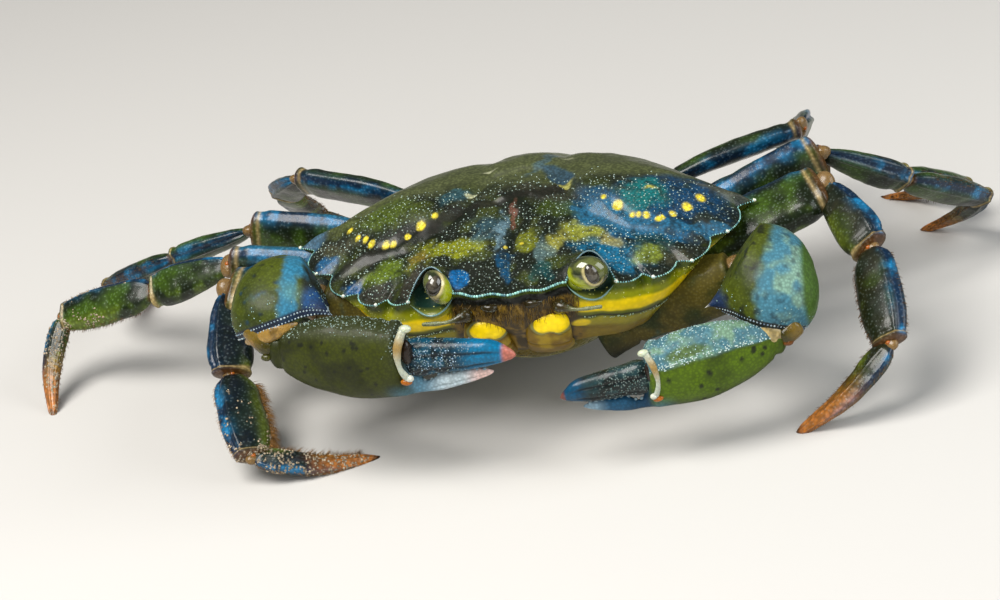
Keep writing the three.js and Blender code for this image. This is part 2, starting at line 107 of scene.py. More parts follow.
SEED_SHIFT, OCTAVE_SHIFT, LATTICE_SIZE = 7.31, 3.7, len(LATTICE)


def noise(points, size, seed, octaves=3):
    """Lattice noise of about -1 to 1: random values at cell corners, blended with an S curve,
    summed over octaves of half the size and half the height."""
    total = 0
    for octave in range(octaves):
        place = points / size * 2 ** octave + SEED_SHIFT * seed + OCTAVE_SHIFT * octave
        cell = np.floor(place).astype(int)
        part = smooth(0, 1, place - cell)
        for corner in np.ndindex(2, 2, 2):
            weight = np.prod(np.where(corner, part, 1 - part), axis=-1)
            i, j, k = np.moveaxis((cell + corner) % LATTICE_SIZE, -1, 0)
            total = total + weight * LATTICE[i, j, k] / 2 ** octave
    return total


def clouded(points, first, second, low, high, size, seed):
    """Two colours in clouds: the first where the noise is below low, the second above high."""
    return paint(first, second, smooth(low, high, noise(points, size, seed)))


def drawn(first, second, number, most=1.0):
    """Colours drawn at random from the first to a share of the way to the second."""
    return paint(np.tile(first, (number, 1)), second, random.uniform(0, most, number))


def profile(x, stations):
    """A smooth curve through (place, value) pairs: cubic Hermite, slopes from the neighbours."""
    places, values = np.array(stations, float).T
    slopes = np.gradient(values, places)
    k = np.clip(np.searchsorted(places, x) - 1, 0, len(places) - 2)
    width = places[k + 1] - places[k]
    t = np.clip((x - places[k]) / width, 0, 1)
    rise = t * t * (3 - 2 * t)
    return (mix(values[k], values[k + 1], rise)
            + width * (t * (1 - t) ** 2 * slopes[k] - t * t * (1 - t) * slopes[k + 1]))


def distances(line):
    """How far along a line of points each one lies."""
    return np.append(0, np.cumsum(np.linalg.norm(np.diff(line, axis=0), axis=1)))


def spaced(line, spacing):
    """Points at even spacing along a line of points."""
    far = distances(line)
    at = np.arange(0, far[-1], spacing)
    return np.stack([np.interp(at, far, line[:, k]) for k in range(3)], -1)


def blob(x, y, patch):
    """A soft ellipse: exp(-d^2) of the distance from its centre in units of its turned radii."""
    centre_x, centre_y, radius_x, radius_y, turn = patch
    angle = np.radians(turn)
    dx, dy = x - centre_x, y - centre_y
    along = (dx * np.cos(angle) + dy * np.sin(angle)) / radius_x
    across = (dy * np.cos(angle) - dx * np.sin(angle)) / radius_y
    return np.exp(-along ** 2 - across ** 2)


def near(x, y, line, width):
    """A soft line: exp(-(d/width)^2) of the distance to a polyline of (x, y) points."""
    best = np.full(np.shape(x), 1e9)
    for (ax, ay), (bx, by) in zip(line[:-1], line[1:]):
        dx, dy = bx - ax, by - ay
        t = np.clip(((x - ax) * dx + (y - ay) * dy) / (dx * dx + dy * dy), 0, 1)
        best = np.minimum(best, (x - ax - dx * t) ** 2 + (y - ay - dy * t) ** 2)
    return np.exp(-best / width ** 2)


# ------------------------------------------------------------------ meshes from arrays
class Form:
    """Collects surfaces of the crab's frame and makes one mesh object of them."""

    def __init__(self):
        self.points, self.tints, self.faces, self.unwrap, self.count = [], [], [], [], 0

    def add(self, points, tint, faces, unwrap=None):
        """Adds points (n, 3), a tint of 3 or 4 channels, a list of face index arrays, and for
        bristles the place (n, 2) of each point on the unwrapped skin."""
        channels = np.shape(tint)[-1]
        tint = np.broadcast_to(tint, points.shape[:-1] + (channels,)).reshape(-1, channels)
        if channels == 3:
            tint = np.column_stack([tint, np.ones(len(tint))])
        self.points.append(points.reshape(-1, 3))
        self.tints.append(tint)
        self.faces += [face + self.count for face in faces]
        if unwrap is not None:
            self.unwrap.append(unwrap)
        self.count += len(self.points[-1])

    def grid(self, points, tint, caps=True):
        """A grid of points (rows, columns, 3), its last column joined to its first. caps closes
        the first and last rows with fans. Faces look along rows x columns, and a closed grid is
        turned to face outwards."""
        rows, columns = points.shape[:2]
        index = np.arange(rows * columns).reshape(rows, columns)
        left, right = index, np.roll(index, -1, 1)
        faces = [np.stack([left[:-1], left[1:], right[1:], right[:-1]], -1).reshape(-1, 4)]
        points = points.reshape(-1, 3)
        tint = np.broadcast_to(tint, (rows, columns, np.shape(tint)[-1])).reshape(rows * columns, -1)
        if caps:
            hubs = np.array([points[index[0]].mean(0), points[index[-1]].mean(0)])
            tint = np.vstack([tint, tint[index[0, 0]], tint[index[-1, 0]]])
            points = np.vstack([points, hubs])
            first, last = np.full(columns, rows * columns), np.full(columns, rows * columns + 1)
            faces.append(np.stack([first, left[0], right[0]], -1))
            faces.append(np.stack([last, right[-1], left[-1]], -1))
            if volume(points, faces) < 0:
                faces = [face[:, ::-1] for face in faces]
        self.add(points, tint, faces)

    def domes(self, centres, normals, radii, tint, height=0.7, sides=6):
        """Small domes at many centres: a base ring, a ring at half height and a top point."""
        count = len(centres)
        radii = np.broadcast_to(radii, (count,))[:, None, None]
        normals = unit(normals)[:, None, :]
        first = unit(np.cross(normals, X + 0.31 * Y + 0.17 * Z))
        second = np.cross(normals, first)
        angle = np.linspace(0, 2 * np.pi, sides, endpoint=False)[None, :, None]
        rim = first * np.cos(angle) + second * np.sin(angle)
        centre = centres[:, None, :]
        low = centre + radii * (rim - 0.25 * normals)
        half = centre + radii * (0.72 * rim + 0.68 * height * normals)
        top = centre + radii * height * normals
        points = np.concatenate([low, half, top], 1)
        base = np.arange(count)[:, None, None] * (2 * sides + 1)
        ring = np.arange(sides)
        following = np.roll(ring, -1)
        quads = base + np.stack([ring, following, following + sides, ring + sides], -1)[None]
        tops = base + np.stack([ring + sides, following + sides, np.full(sides, 2 * sides)], -1)[None]
        tint = np.atleast_2d(tint)
        tint = np.repeat(np.broadcast_to(tint, (count, tint.shape[-1]))[:, None], 2 * sides + 1, 1)
        self.add(points, tint, [quads.reshape(-1, 4), tops.reshape(-1, 3)])

    def piece(self, name, material, slot, nodes=()):
        """Makes the mesh object, in metres, and hangs it on the frame."""
        mesh = bpy.data.meshes.new(name)
        points = np.vstack(self.points) * MM + ORIGIN
        corners = np.concatenate([face.ravel() for face in self.faces])
        sizes = np.concatenate([np.full(len(face), face.shape[1]) for face in self.faces])
        mesh.vertices.add(len(points))
        mesh.vertices.foreach_set("co", points.ravel())
        mesh.loops.add(len(corners))
        mesh.loops.foreach_set("vertex_index", corners.astype(np.int32))
        mesh.polygons.add(len(sizes))
        mesh.polygons.foreach_set("loop_start", (np.cumsum(sizes) - sizes).astype(np.int32))
        mesh.polygons.foreach_set("use_smooth", np.ones(len(sizes), bool))
        mesh.update(calc_edges=True)
        tint = mesh.color_attributes.new("Tint", "FLOAT_COLOR", "POINT")
        tint.data.foreach_set("color", np.vstack(self.tints).astype(np.float32).ravel())
        if self.unwrap:
            layer = mesh.uv_layers.new(name="OFBake")
            layer.data.foreach_set("uv", np.vstack(self.unwrap)[corners].astype(np.float32).ravel())
        mesh.validate()
        mesh.materials.append(material)
        made = bpy.data.objects.new(name, mesh)
        bpy.context.scene.collection.objects.link(made)
        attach(made, "root")
        if nodes:
            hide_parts(*nodes)


def volume(points, faces):
    """Six times the signed volume of a closed set of faces, split into triangles."""
    total = 0
    for face in faces:
        a = points[face[:, 0]]
        for k in range(1, face.shape[1] - 1):
            total += np.einsum("ij,ij->", a, np.cross(points[face[:, k]], points[face[:, k + 1]]))
    return total


def normals_of(points):
    """Unit normals of a closed grid, from the cross product of its central differences."""
    down = np.gradient(points, axis=0)
    padded = np.concatenate([points[:, -1:], points, points[:, :1]], 1)
    return unit(np.cross(down, np.gradient(padded, axis=1)[:, 1:-1]))


def super_ellipse(sides, power):
    """Angles round a section, and |cos|^power and |sin|^power with the signs of cos and sin."""
    angle = np.linspace(0, 2 * np.pi, sides, endpoint=False)
    return angle, *(np.sign(wave) * abs(wave) ** power for wave in (np.cos(angle), np.sin(angle)))


def tube(path, wide, half_wide, half_flat, sides, power=1.0):
    """Sections along a path (n, 3): super-ellipses of half sizes half_flat across and half_wide
    along the wide direction. Returns the grid and its angles."""
    tangent = unit(np.gradient(path, axis=0))
    across = unit(wide - tangent * (tangent @ wide)[:, None])
    side = np.cross(tangent, across)
    angle, c, s = super_ellipse(sides, power)
    half_wide, half_flat = (np.broadcast_to(h, len(path))[:, None, None] for h in (half_wide, half_flat))
    ring = side[:, None] * c[None, :, None] * half_flat + across[:, None] * s[None, :, None] * half_wide
    return path[:, None] + ring, np.broadcast_to(angle, (len(path), sides))


def rounded_ends(distance, cap, blunt):
    """A quarter circle over the distance to the nearer end: blunt at the end, 1 from cap on."""
    ends = np.clip(distance / cap, 0, 1)
    return np.sqrt(1 - (1 - ends) ** 2) * (1 - blunt) + blunt


def sphere_grid(rows, sides):
    """A unit sphere as rows from pole to pole, which stop just short of the poles."""
    down = np.linspace(0.02, np.pi - 0.02, rows)[:, None]
    turn = np.linspace(0, 2 * np.pi, sides, endpoint=False)[None]
    return np.stack([np.sin(down) * np.cos(turn), np.sin(down) * np.sin(turn), np.cos(down) + 0 * turn], -1)


def plate(node, points, tint, material, slot):
    """One closed grid as a piece that stands for a CAD node."""
    form = Form()
    form.grid(points, tint)
    form.piece(f"{node}_shell", material, slot, [node])


# ------------------------------------------------------------------ materials
class Graph:
    """Shorthand for building node trees: node() makes one, sets its properties and inputs."""

    def __init__(self, tree):
        self.tree = tree
        tree.nodes.clear()

    def node(self, kind, inputs=None, **settings):
        made = self.tree.nodes.new(kind)
        for key, value in settings.items():
            setattr(made, key, value)
        for key, value in (inputs or {}).items():
            if isinstance(value, bpy.types.NodeSocket):
                self.tree.links.new(value, made.inputs[key])
            else:
                made.inputs[key].default_value = value
        return made.outputs

    def group(self, tree, inputs):
        """Places a node group. Its tree is set before its inputs, so that they exist."""
        return self.node("ShaderNodeGroup", inputs, node_tree=tree)

    def cells(self, given, **inputs):
        """Distance to the middle of the nearest cell, of a group's own scale."""
        inputs = {"Vector": given["Vector"], "Scale": given["Scale"], **inputs}
        return self.node("ShaderNodeTexVoronoi", inputs)["Distance"]

    def math(self, operation, a, b):
        return self.node("ShaderNodeMath", {0: a, 1: b}, operation=operation)[0]

    def noise(self, where, scale, detail, roughness=0.55):
        inputs = {"Vector": where, "Scale": scale, "Detail": detail, "Roughness": roughness}
        return self.node("ShaderNodeTexNoise", inputs)[0]

    def step(self, value, low, high):
        """Value rising smoothly from 0 at low to 1 at high."""
        inputs = {"Value": value, "From Min": low, "From Max": high}
        return self.node("ShaderNodeMapRange", inputs, interpolation_type="SMOOTHSTEP")[0]

    def blend(self, factor, a, b, how="MIX"):
        made = self.node("ShaderNodeMix", {0: factor, 6: a, 7: b}, data_type="RGBA", blend_type=how)
        return made[2]


def node_group(name, inputs, outputs, build):
    """A shared effect: a node group with named inputs and outputs, filled in by build."""
    tree = bpy.data.node_groups.new(name, "ShaderNodeTree")
    for label, (kind, default) in inputs.items():
        tree.interface.new_socket(label, in_out="INPUT", socket_type=kind).default_value = default
    for label, kind in outputs.items():
        tree.interface.new_socket(label, in_out="OUTPUT", socket_type=kind)
    graph = Graph(tree)
    given = graph.node("NodeGroupInput")
    taken = tree.nodes.new("NodeGroupOutput")
    for label, socket in build(graph, given).items():
        tree.links.new(socket, taken.inputs[label])
    return tree


FLOAT, COLOUR, VECTOR = "NodeSocketFloat", "NodeSocketColor", "NodeSocketVector"
DEEP_PIGMENT, GRAIN_SHADE = (0.003, 0.005, 0.002, 1), (0.42, 0.55, 0.5, 1)


def build_mottle(graph, given):
    """Pigment: soft clouds, and a fine dark network of cells that thickens in the clouds."""
    cloud = graph.noise(given["Vector"], 420, 4)
    shade = graph.math("ADD", graph.cells(given), graph.math("MULTIPLY", cloud, 0.6))
    shade = graph.step(shade, 0.45, 1.05)
    dark = graph.blend(graph.math("MULTIPLY", shade, given["Amount"]), given["Colour"], DEEP_PIGMENT)
    pale = graph.math("MULTIPLY", graph.step(cloud, 0.52, 0.78), given["Amount"])
    lit = graph.blend(graph.math("MULTIPLY", pale, 0.3), dark, given["Colour"], "ADD")
    return {"Colour": lit, "Cloud": cloud}


def build_granules(graph, given):
    """Tiny pearly grains: the middles of small cells stand up and are pale."""
    grain = graph.math("SUBTRACT", 1.0, graph.step(graph.cells(given, Randomness=0.8), 0.12, 0.42))
    return {"Height": grain, "Mask": graph.math("MULTIPLY", grain, given["Amount"])}


def build_wet(graph, given):
    """Roughness of a wet shell: glossy film with dull, drying places."""
    dry = graph.step(graph.noise(given["Vector"], 260, 5, 0.65), 0.42, 0.72)
    fine = graph.noise(given["Vector"], 2400, 2)
    dull = graph.math("ADD", dry, graph.math("MULTIPLY", fine, 0.5))
    return {"Roughness": graph.math("ADD", given["Base"], graph.math("MULTIPLY", dull, given["Spread"]))}


MOTTLE = node_group("Pigment", {
    "Vector": (VECTOR, (0, 0, 0)), "Colour": (COLOUR, (1, 1, 1, 1)),
    "Scale": (FLOAT, 2600.0), "Amount": (FLOAT, 0.5),
}, {"Colour": COLOUR, "Cloud": FLOAT}, build_mottle)
GRANULES = node_group("Granules", {
    "Vector": (VECTOR, (0, 0, 0)), "Scale": (FLOAT, 2200.0), "Amount": (FLOAT, 0.5),
}, {"Height": FLOAT, "Mask": FLOAT}, build_granules)
WET = node_group("Wet film", {
    "Vector": (VECTOR, (0, 0, 0)), "Base": (FLOAT, 0.2), "Spread": (FLOAT, 0.2),
}, {"Roughness": FLOAT}, build_wet)


def shell_material(name, mottle, grain, relief, rough, fleck=2600, grain_scale=2200, spread=0.22, coat=0.3,
                   see_through=0):
    """A shell plate: its tint, broken up by pigment and granules, under a wet film."""
    material = bpy.data.materials.new(name)
    material.use_nodes = True
    graph = Graph(material.node_tree)
    where = graph.node("ShaderNodeTexCoord")["Object"]
    tint = graph.node("ShaderNodeAttribute", attribute_name="Tint")
    pigment = graph.group(MOTTLE, {"Vector": where, "Colour": tint["Color"], "Scale": fleck,
                                   "Amount": mottle})
    grains = graph.group(GRANULES, {"Vector": where, "Scale": grain_scale, "Amount": grain})
    grainy = graph.math("MULTIPLY", grains["Mask"], tint["Alpha"])
    colour = graph.blend(grainy, pigment["Colour"], GRAIN_SHADE)
    wet = graph.group(WET, {"Vector": where, "Base": rough, "Spread": spread})
    height = graph.math("ADD", graph.math("MULTIPLY", grains["Height"], tint["Alpha"]),
                        graph.math("MULTIPLY", pigment["Cloud"], 0.6))
    bump_map = graph.node("ShaderNodeBump", {"Height": height, "Strength": relief, "Distance": 0.0002})[0]
    surface = graph.node("ShaderNodeBsdfPrincipled", {
        "Base Color": colour, "Roughness": wet["Roughness"], "Normal": bump_map, "Coat Weight": coat,
        "Coat Roughness": 0.13, "Specular IOR Level": 0.24, "Subsurface Weight": see_through,
        "Subsurface Scale": 0.0006, "Subsurface Radius": (1.0, 0.7, 0.4),
    })
    graph.node("ShaderNodeOutputMaterial", {"Surface": surface[0]})
    return material


# Name, mottle, grain, relief and roughness, then what differs from the usual.
FOLD = shell_material("shell_fold", 0.15, 0.05, 0.2, 0.3, fleck=1500, coat=0.16)
SHELL = shell_material("shell_top", 0.5, 0.05, 0.3, 0.32, spread=0.25, coat=0.15)
BELLY = shell_material("underside", 0.3, 0.12, 0.2, 0.18, fleck=1800, see_through=0.1)
CLAW = shell_material("claw_shell", 0.35, 0.12, 0.3, 0.46, grain_scale=2600, coat=0.05)
FINGER = shell_material("claw_finger", 0.35, 0.5, 0.45, 0.24, grain_scale=3000, coat=0.15)
LEG = shell_material("leg_shell", 0.45, 0.15, 0.25, 0.24, fleck=2200, coat=0.18)
TIP = shell_material("leg_tip", 0.5, 0.2, 0.3, 0.3, fleck=1600, see_through=0.15)
SKIN = shell_material("joint_membrane", 0.15, 0, 0.35, 0.25, see_through=0.3)
PEARL = shell_material("pearly_granules", 0.1, 0, 0.1, 0.15, spread=0.1, see_through=0.2)
EYE = shell_material("eye", 0.2, 0, 0.04, 0.06, fleck=5200, spread=0.06, coat=1)
BRISTLE = shell_material("bristles", 0.3, 0, 0.2, 0.45, coat=0.1)


# ------------------------------------------------------------------ shell: its outline
LOBE_PITCH, LOBE_DEPTH, FRONT_CURVE = 4.3, 0.7, 0.03
ORBIT_INNER_X, ORBIT_DEPTH, ORBIT_RISE = 7.17, 3, 2.9
TEETH = np.array([[13.3, -18.3, -0.8], [17.8, -16.9, -1.4], [22.5, -13.5, -1.3], [26.8, -7.4, -0.6],
                  [HALF, 0, 0]])
TOOTH_EDGE = [(0, 0), (0.2, 0.36), (0.42, 0.2), (0.64, -0.65), (0.8, -1.45), (0.88, -1), (1, 0)]
SIDE_CONTROL, REAR_CORNER, REAR_Y = np.array([24.5, 7, -1]), np.array([12.2, 23.4, -3]), 25
CENTRE = np.array([0, 6.5])
DOME_HEIGHT, DOME_SOFT, TEETH_FADE = 5.6, 0.1, 6
DOME_POWER = (3.6, 1.12, 1.3)
# The fold under the edge: its drop, and by side, front and rear how far in it has come there.
FOLD_DROP = (0, 0.7, 2.2, 4, 6.4, 9.4)
FOLD_SHARE = ((1, 0.975, 0.93, 0.84, 0.66, 0.47), (1, 0.985, 0.99, 0.985, 0.94, 0.82),
              (1, 0.985, 0.96, 0.92, 0.86, 0.72))
FOLD_TEETH = (1, 0.9, 0.2, 0, 0, 0)
SOCKET_DEPTH, SOCKET_FLOOR = 3.2, 2.2
FRONT_STEPS, ORBIT_STEPS, TOOTH_STEPS, SIDE_STEPS, REAR_STEPS = 44, 38, 28, 78, 49
ROUNDING_PASSES, SOCKET_ROWS, FOLD_ROWS, TOP_ROWS = 280, 22, 64, 132


def half_edge(notch):
    """Left half of the edge, front middle to rear middle. The front is a parabola with three
    scalloped lobes, the eye notch a half sine inwards and upwards, each tooth a chord with the
    offsets of TOOTH_EDGE, the side a quadratic curve and the rear a quarter sine wave. notch is
    1 for the edge itself and 0 for the edge without its eye notch."""
    x = np.linspace(0, ORBIT_INNER_X, FRONT_STEPS, endpoint=False)
    scallop = LOBE_DEPTH / 2 * (1 - np.cos(2 * np.pi * x / LOBE_PITCH))
    parts = [np.stack([x, FRONT_Y + scallop + FRONT_CURVE * x * x, 0 * x + 0.3], -1)]
    inner = np.array([ORBIT_INNER_X, FRONT_Y + 0.5 + FRONT_CURVE * ORBIT_INNER_X ** 2, 0.3])
    share = np.linspace(0, 1, ORBIT_STEPS, endpoint=False)[:, None]
    arch = notch * np.sin(np.pi * share) ** 0.85
    parts.append(mix(inner, TEETH[0], share) + (Y * ORBIT_DEPTH + Z * ORBIT_RISE) * arch)
    for tip, following in zip(TEETH[:-1], TEETH[1:]):
        share = np.linspace(0, 1, TOOTH_STEPS, endpoint=False)
        chord = following - tip
        out = np.array([-chord[1], chord[0], 0]) / -np.hypot(*chord[:2])
        parts.append(tip + chord * share[:, None] + out * profile(share, TOOTH_EDGE)[:, None])
    t = np.linspace(0, 1, SIDE_STEPS, endpoint=False)[:, None]
    parts.append(TEETH[4] * (1 - t) ** 2 + 2 * SIDE_CONTROL * t * (1 - t) + REAR_CORNER * t * t)
    turn = np.linspace(0, np.pi / 2, REAR_STEPS)
    corner_y = mix(REAR_CORNER[1], REAR_Y, np.sin(turn))
    across = REAR_CORNER[0] * (1 - turn / (np.pi / 2))
    parts.append(np.stack([across, corner_y, -3 + 0.6 * turn / np.pi], -1))
    return np.vstack(parts)


def edge_loop(notch):
    """The whole edge: the left half, and its mirror image back to the front."""
    half = half_edge(notch)
    return np.vstack([half, half[-2:0:-1] * [-1, 1, 1]])


def rounded(loop):
    """The loop averaged with its neighbours many times, which rounds its teeth away."""
    for _ in range(ROUNDING_PASSES):
        loop = (np.roll(loop, 1, 0) + 2 * loop + np.roll(loop, -1, 0)) / 4
    return loop


EDGE, LOW_EDGE = edge_loop(1), edge_loop(0)
ROUND_EDGE = rounded(LOW_EDGE)
SOCKET = (EDGE - LOW_EDGE)[:, 1] / ORBIT_DEPTH
AHEAD = (CENTRE[1] - EDGE[:, 1]) / np.hypot(EDGE[:, 0] - CENTRE[0], EDGE[:, 1] - CENTRE[1])
FRONTNESS, REARNESS = smooth(0.4, 0.88, AHEAD), smooth(0.2, 0.85, -AHEAD)


def by_way(side, front, rear):
    """A value for each place round the edge, blended from those of side, front and rear."""
    return mix(mix(side, front, FRONTNESS), rear, REARNESS)


# Furrows and swellings of the shell's top, in x (mirrored) and y: depth or height comes last.
FURROWS = [
    ([(25.4, -10.6), (20.6, -9.4), (14.4, -8.4), (9.2, -4.6), (6.6, -1), (5.4, 2.8), (3.6, 4.5), (0, 5.2)],
     0.95, 0.6),
    ([(24.6, -2.2), (21.8, -4.6), (18.8, -7), (15.5, -6.9), (12.6, -4.6)], 0.7, 0.3),
    ([(0, -5.2), (0, -11), (0, -20.5)], 0.55, 0.3),
    ([(0.3, -7.2), (2.2, -3), (4.6, -0.6)], 0.7, 0.3),
    ([(4.6, 4.6), (5.4, 9), (4.4, 13), (6.4, 18)], 1.3, 0.35),
    ([(7.2, -12.4), (8.2, -9.4), (9.4, -6.2)], 1.0, 0.3),
    ([(11.6, -15.6), (13.2, -13.2), (15.5, -11)], 0.8, 0.22),
    ([(24.3, 1.6), (18, 2.4), (12, 2.2), (7, 4)], 1.1, 0.18),
]
SWELLINGS = [
    ((3.9, -8.6, 2.6, 4.4, 12), 0.6), ((2.3, -15.8, 1.7, 2.6, 0), 0.35), ((0, 0.2, 3.6, 3.4, 0), 0.55),
    ((9.6, -13, 2.4, 1.8, 20), 0.4), ((14, -12.4, 3, 2.4, -20), 0.35), ((18.5, -12.2, 2.8, 2.2, -30), 0.35),
    ((13, -2.4, 4.2, 2.6, -18), 0.55), ((20.6, -1.6, 3.6, 2, -6), 0.35), ((0, 9.6, 3.6, 4.2, 0), 0.4),
    ((15, 9, 8, 8, 0), 0.25), ((0, 18, 4.5, 3, 0), 0.2), ((17.6, -8.6, 2, 1.2, 20), 0.15),
]
RIDGES = [
    ([(29.6, 0), (26, -0.2), (22.4, 0)], 0.8, 0.5),
    ([(13.2, -18.1), (12.6, -16), (10.2, -14.9), (7.6, -16), (6.4, -18.6)], 0.75, 0.4),
    ([(2, -1.6), (4, -1.9), (6, -1)], 0.5, 0.25),
]


def level(x, y):
    """Points of the plane z = 0, for a pattern that is the same at all heights."""
    return np.stack([x, y, 0 * x], -1)


def relief(x, y):
    """Height added to the dome: swellings and ridges less furrows, each a Gaussian across its
    centre or line, and a low roll of noise."""
    side = abs(x)
    total = 0.1 * noise(level(x, y), 3.2, 1)
    for patch, height in SWELLINGS:
        total = total + height * blob(side, y, patch)
    for line, width, height in RIDGES:
        total = total + height * near(side, y, line, width)
    for line, width, depth in FURROWS:
        total = total - depth * near(side, y, line, width)
    return total


def edge_share(share, column):
    """Points of the loop at fractional columns round it: the rounded edge in the middle, which
    becomes the toothed edge outwards, as share^TEETH_FADE."""
    whole = np.floor(column).astype(int)
    part = (column - whole)[..., None]
    low, high = whole % len(EDGE), (whole + 1) % len(EDGE)
    toothed, plain = (mix(loop[low], loop[high], part) for loop in (EDGE, ROUND_EDGE))
    return mix(plain, toothed, share[..., None] ** TEETH_FADE)


def dome_height(share, column, x, y, edge_z):
    """z share^2 + H (1 - fall) + relief: fall is a softened power of the share that differs by way."""
    columns = np.arange(len(EDGE) + 1)
    side, front, rear = DOME_POWER
    frontness = np.interp(column, columns, np.append(FRONTNESS, FRONTNESS[0]))
    rearness = np.interp(column, columns, np.append(REARNESS, REARNESS[0]))
    power = mix(mix(side, front, frontness), rear, rearness) / 2
    full = (1 + DOME_SOFT) ** power - DOME_SOFT ** power
    fall = ((share ** 2 + DOME_SOFT) ** power - DOME_SOFT ** power) / full
    return edge_z * share ** 2 + DOME_HEIGHT * (1 - fall) + relief(x, y) * (1 - smooth(0.93, 1, share))


def shell_top(share):
    """The shell's top at shares of the way from its middle to each place round the edge:
    points = centre + share (edge - centre), the teeth fading as share^6, under dome_height."""
    share, column = np.meshgrid(share, np.arange(len(EDGE)), indexing="ij")
    loop = edge_share(share, column)
    place = CENTRE + (loop[..., :2] - CENTRE) * share[..., None]
    height = dome_height(share, column, place[..., 0], place[..., 1], loop[..., 2])
    return np.concatenate([place, height[..., None]], -1)


NORMAL_STEP, ROUNDS = 0.1, 6


def on_top(places):
    """Points, normals and shares of the top over places (n, 2): the place's bearing from the
    middle gives the column, and its distance against the edge's, found in a few rounds, the
    share. The normal comes from heights NORMAL_STEP away on each side."""
    bearing = np.unwrap(np.arctan2(EDGE[:, 0], CENTRE[1] - EDGE[:, 1]))
    bearing = np.append(np.maximum.accumulate(bearing), 2 * np.pi)

    def height(x, y):
        column = np.interp(np.arctan2(x, CENTRE[1] - y) % (2 * np.pi), bearing, np.arange(len(bearing)))
        far = np.hypot(x, y - CENTRE[1])
        share = np.full(len(x), 0.5)
        for _ in range(ROUNDS):
            loop = edge_share(share, column)
            share = np.clip(far / np.hypot(loop[:, 0], loop[:, 1] - CENTRE[1]), 0, 1)
        return dome_height(share, column, x, y, loop[:, 2]), share

    x, y = places.T
    z, share = height(x, y)
    slope_x = (height(x + NORMAL_STEP, y)[0] - height(x - NORMAL_STEP, y)[0]) / (2 * NORMAL_STEP)
    slope_y = (height(x, y + NORMAL_STEP)[0] - height(x, y - NORMAL_STEP)[0]) / (2 * NORMAL_STEP)
    return np.stack([x, y, z], -1), unit(np.stack([-slope_x, -slope_y, 0 * x + 1], -1)), share


def shell_fold():
    """The shell's folded under side, and its drop at each point. The first rows cross the eye
    sockets: straight from the edge to the lower rim, plus a half sine of SOCKET_DEPTH inwards.
    The rest come down and inwards by the shares and drops of FOLD, from the lower rim on."""
    q = np.linspace(0, 1, SOCKET_ROWS, endpoint=False)[:, None]
    v = np.linspace(0, 1, FOLD_ROWS)[:, None]
    start = SOCKET_FLOOR * SOCKET + 0.12
    drop = start + (FOLD_DROP[-1] - start) * v
    share = by_way(*(profile(drop, list(zip(FOLD_DROP, row))) for row in FOLD_SHARE))[..., None]
    teeth = profile(drop, list(zip(FOLD_DROP, FOLD_TEETH)))[..., None]
    loop = mix(ROUND_EDGE, LOW_EDGE, teeth)
    place = CENTRE + (loop[..., :2] - CENTRE) * share
    height = mix(loop[..., 2] - drop, BASE_Z, smooth(0.75, 1, v))
    fold = np.concatenate([place, height[..., None]], -1)
    fold[..., 1] -= 0.6 * bump(drop, start, 0.45) * np.clip(SOCKET * 3, 0, 1)
    bowl = (SOCKET_DEPTH * SOCKET * np.sin(np.pi * q) ** 0.6)[..., None] * Y
    socket = mix(EDGE, fold[0], q[..., None]) + bowl
    return np.concatenate([socket, fold]), np.vstack([start * q, drop])


# ------------------------------------------------------------------ shell: its colours
OLIVE_BLACK, BACK_OLIVE, BACK_PALE = rgb(12, 18, 6), rgb(74, 80, 48), rgb(106, 112, 78)
YELLOW, DOT, PEARLY, BEAD = rgb(226, 196, 8), rgb(220, 200, 52), rgb(168, 190, 178), rgb(150, 204, 190)

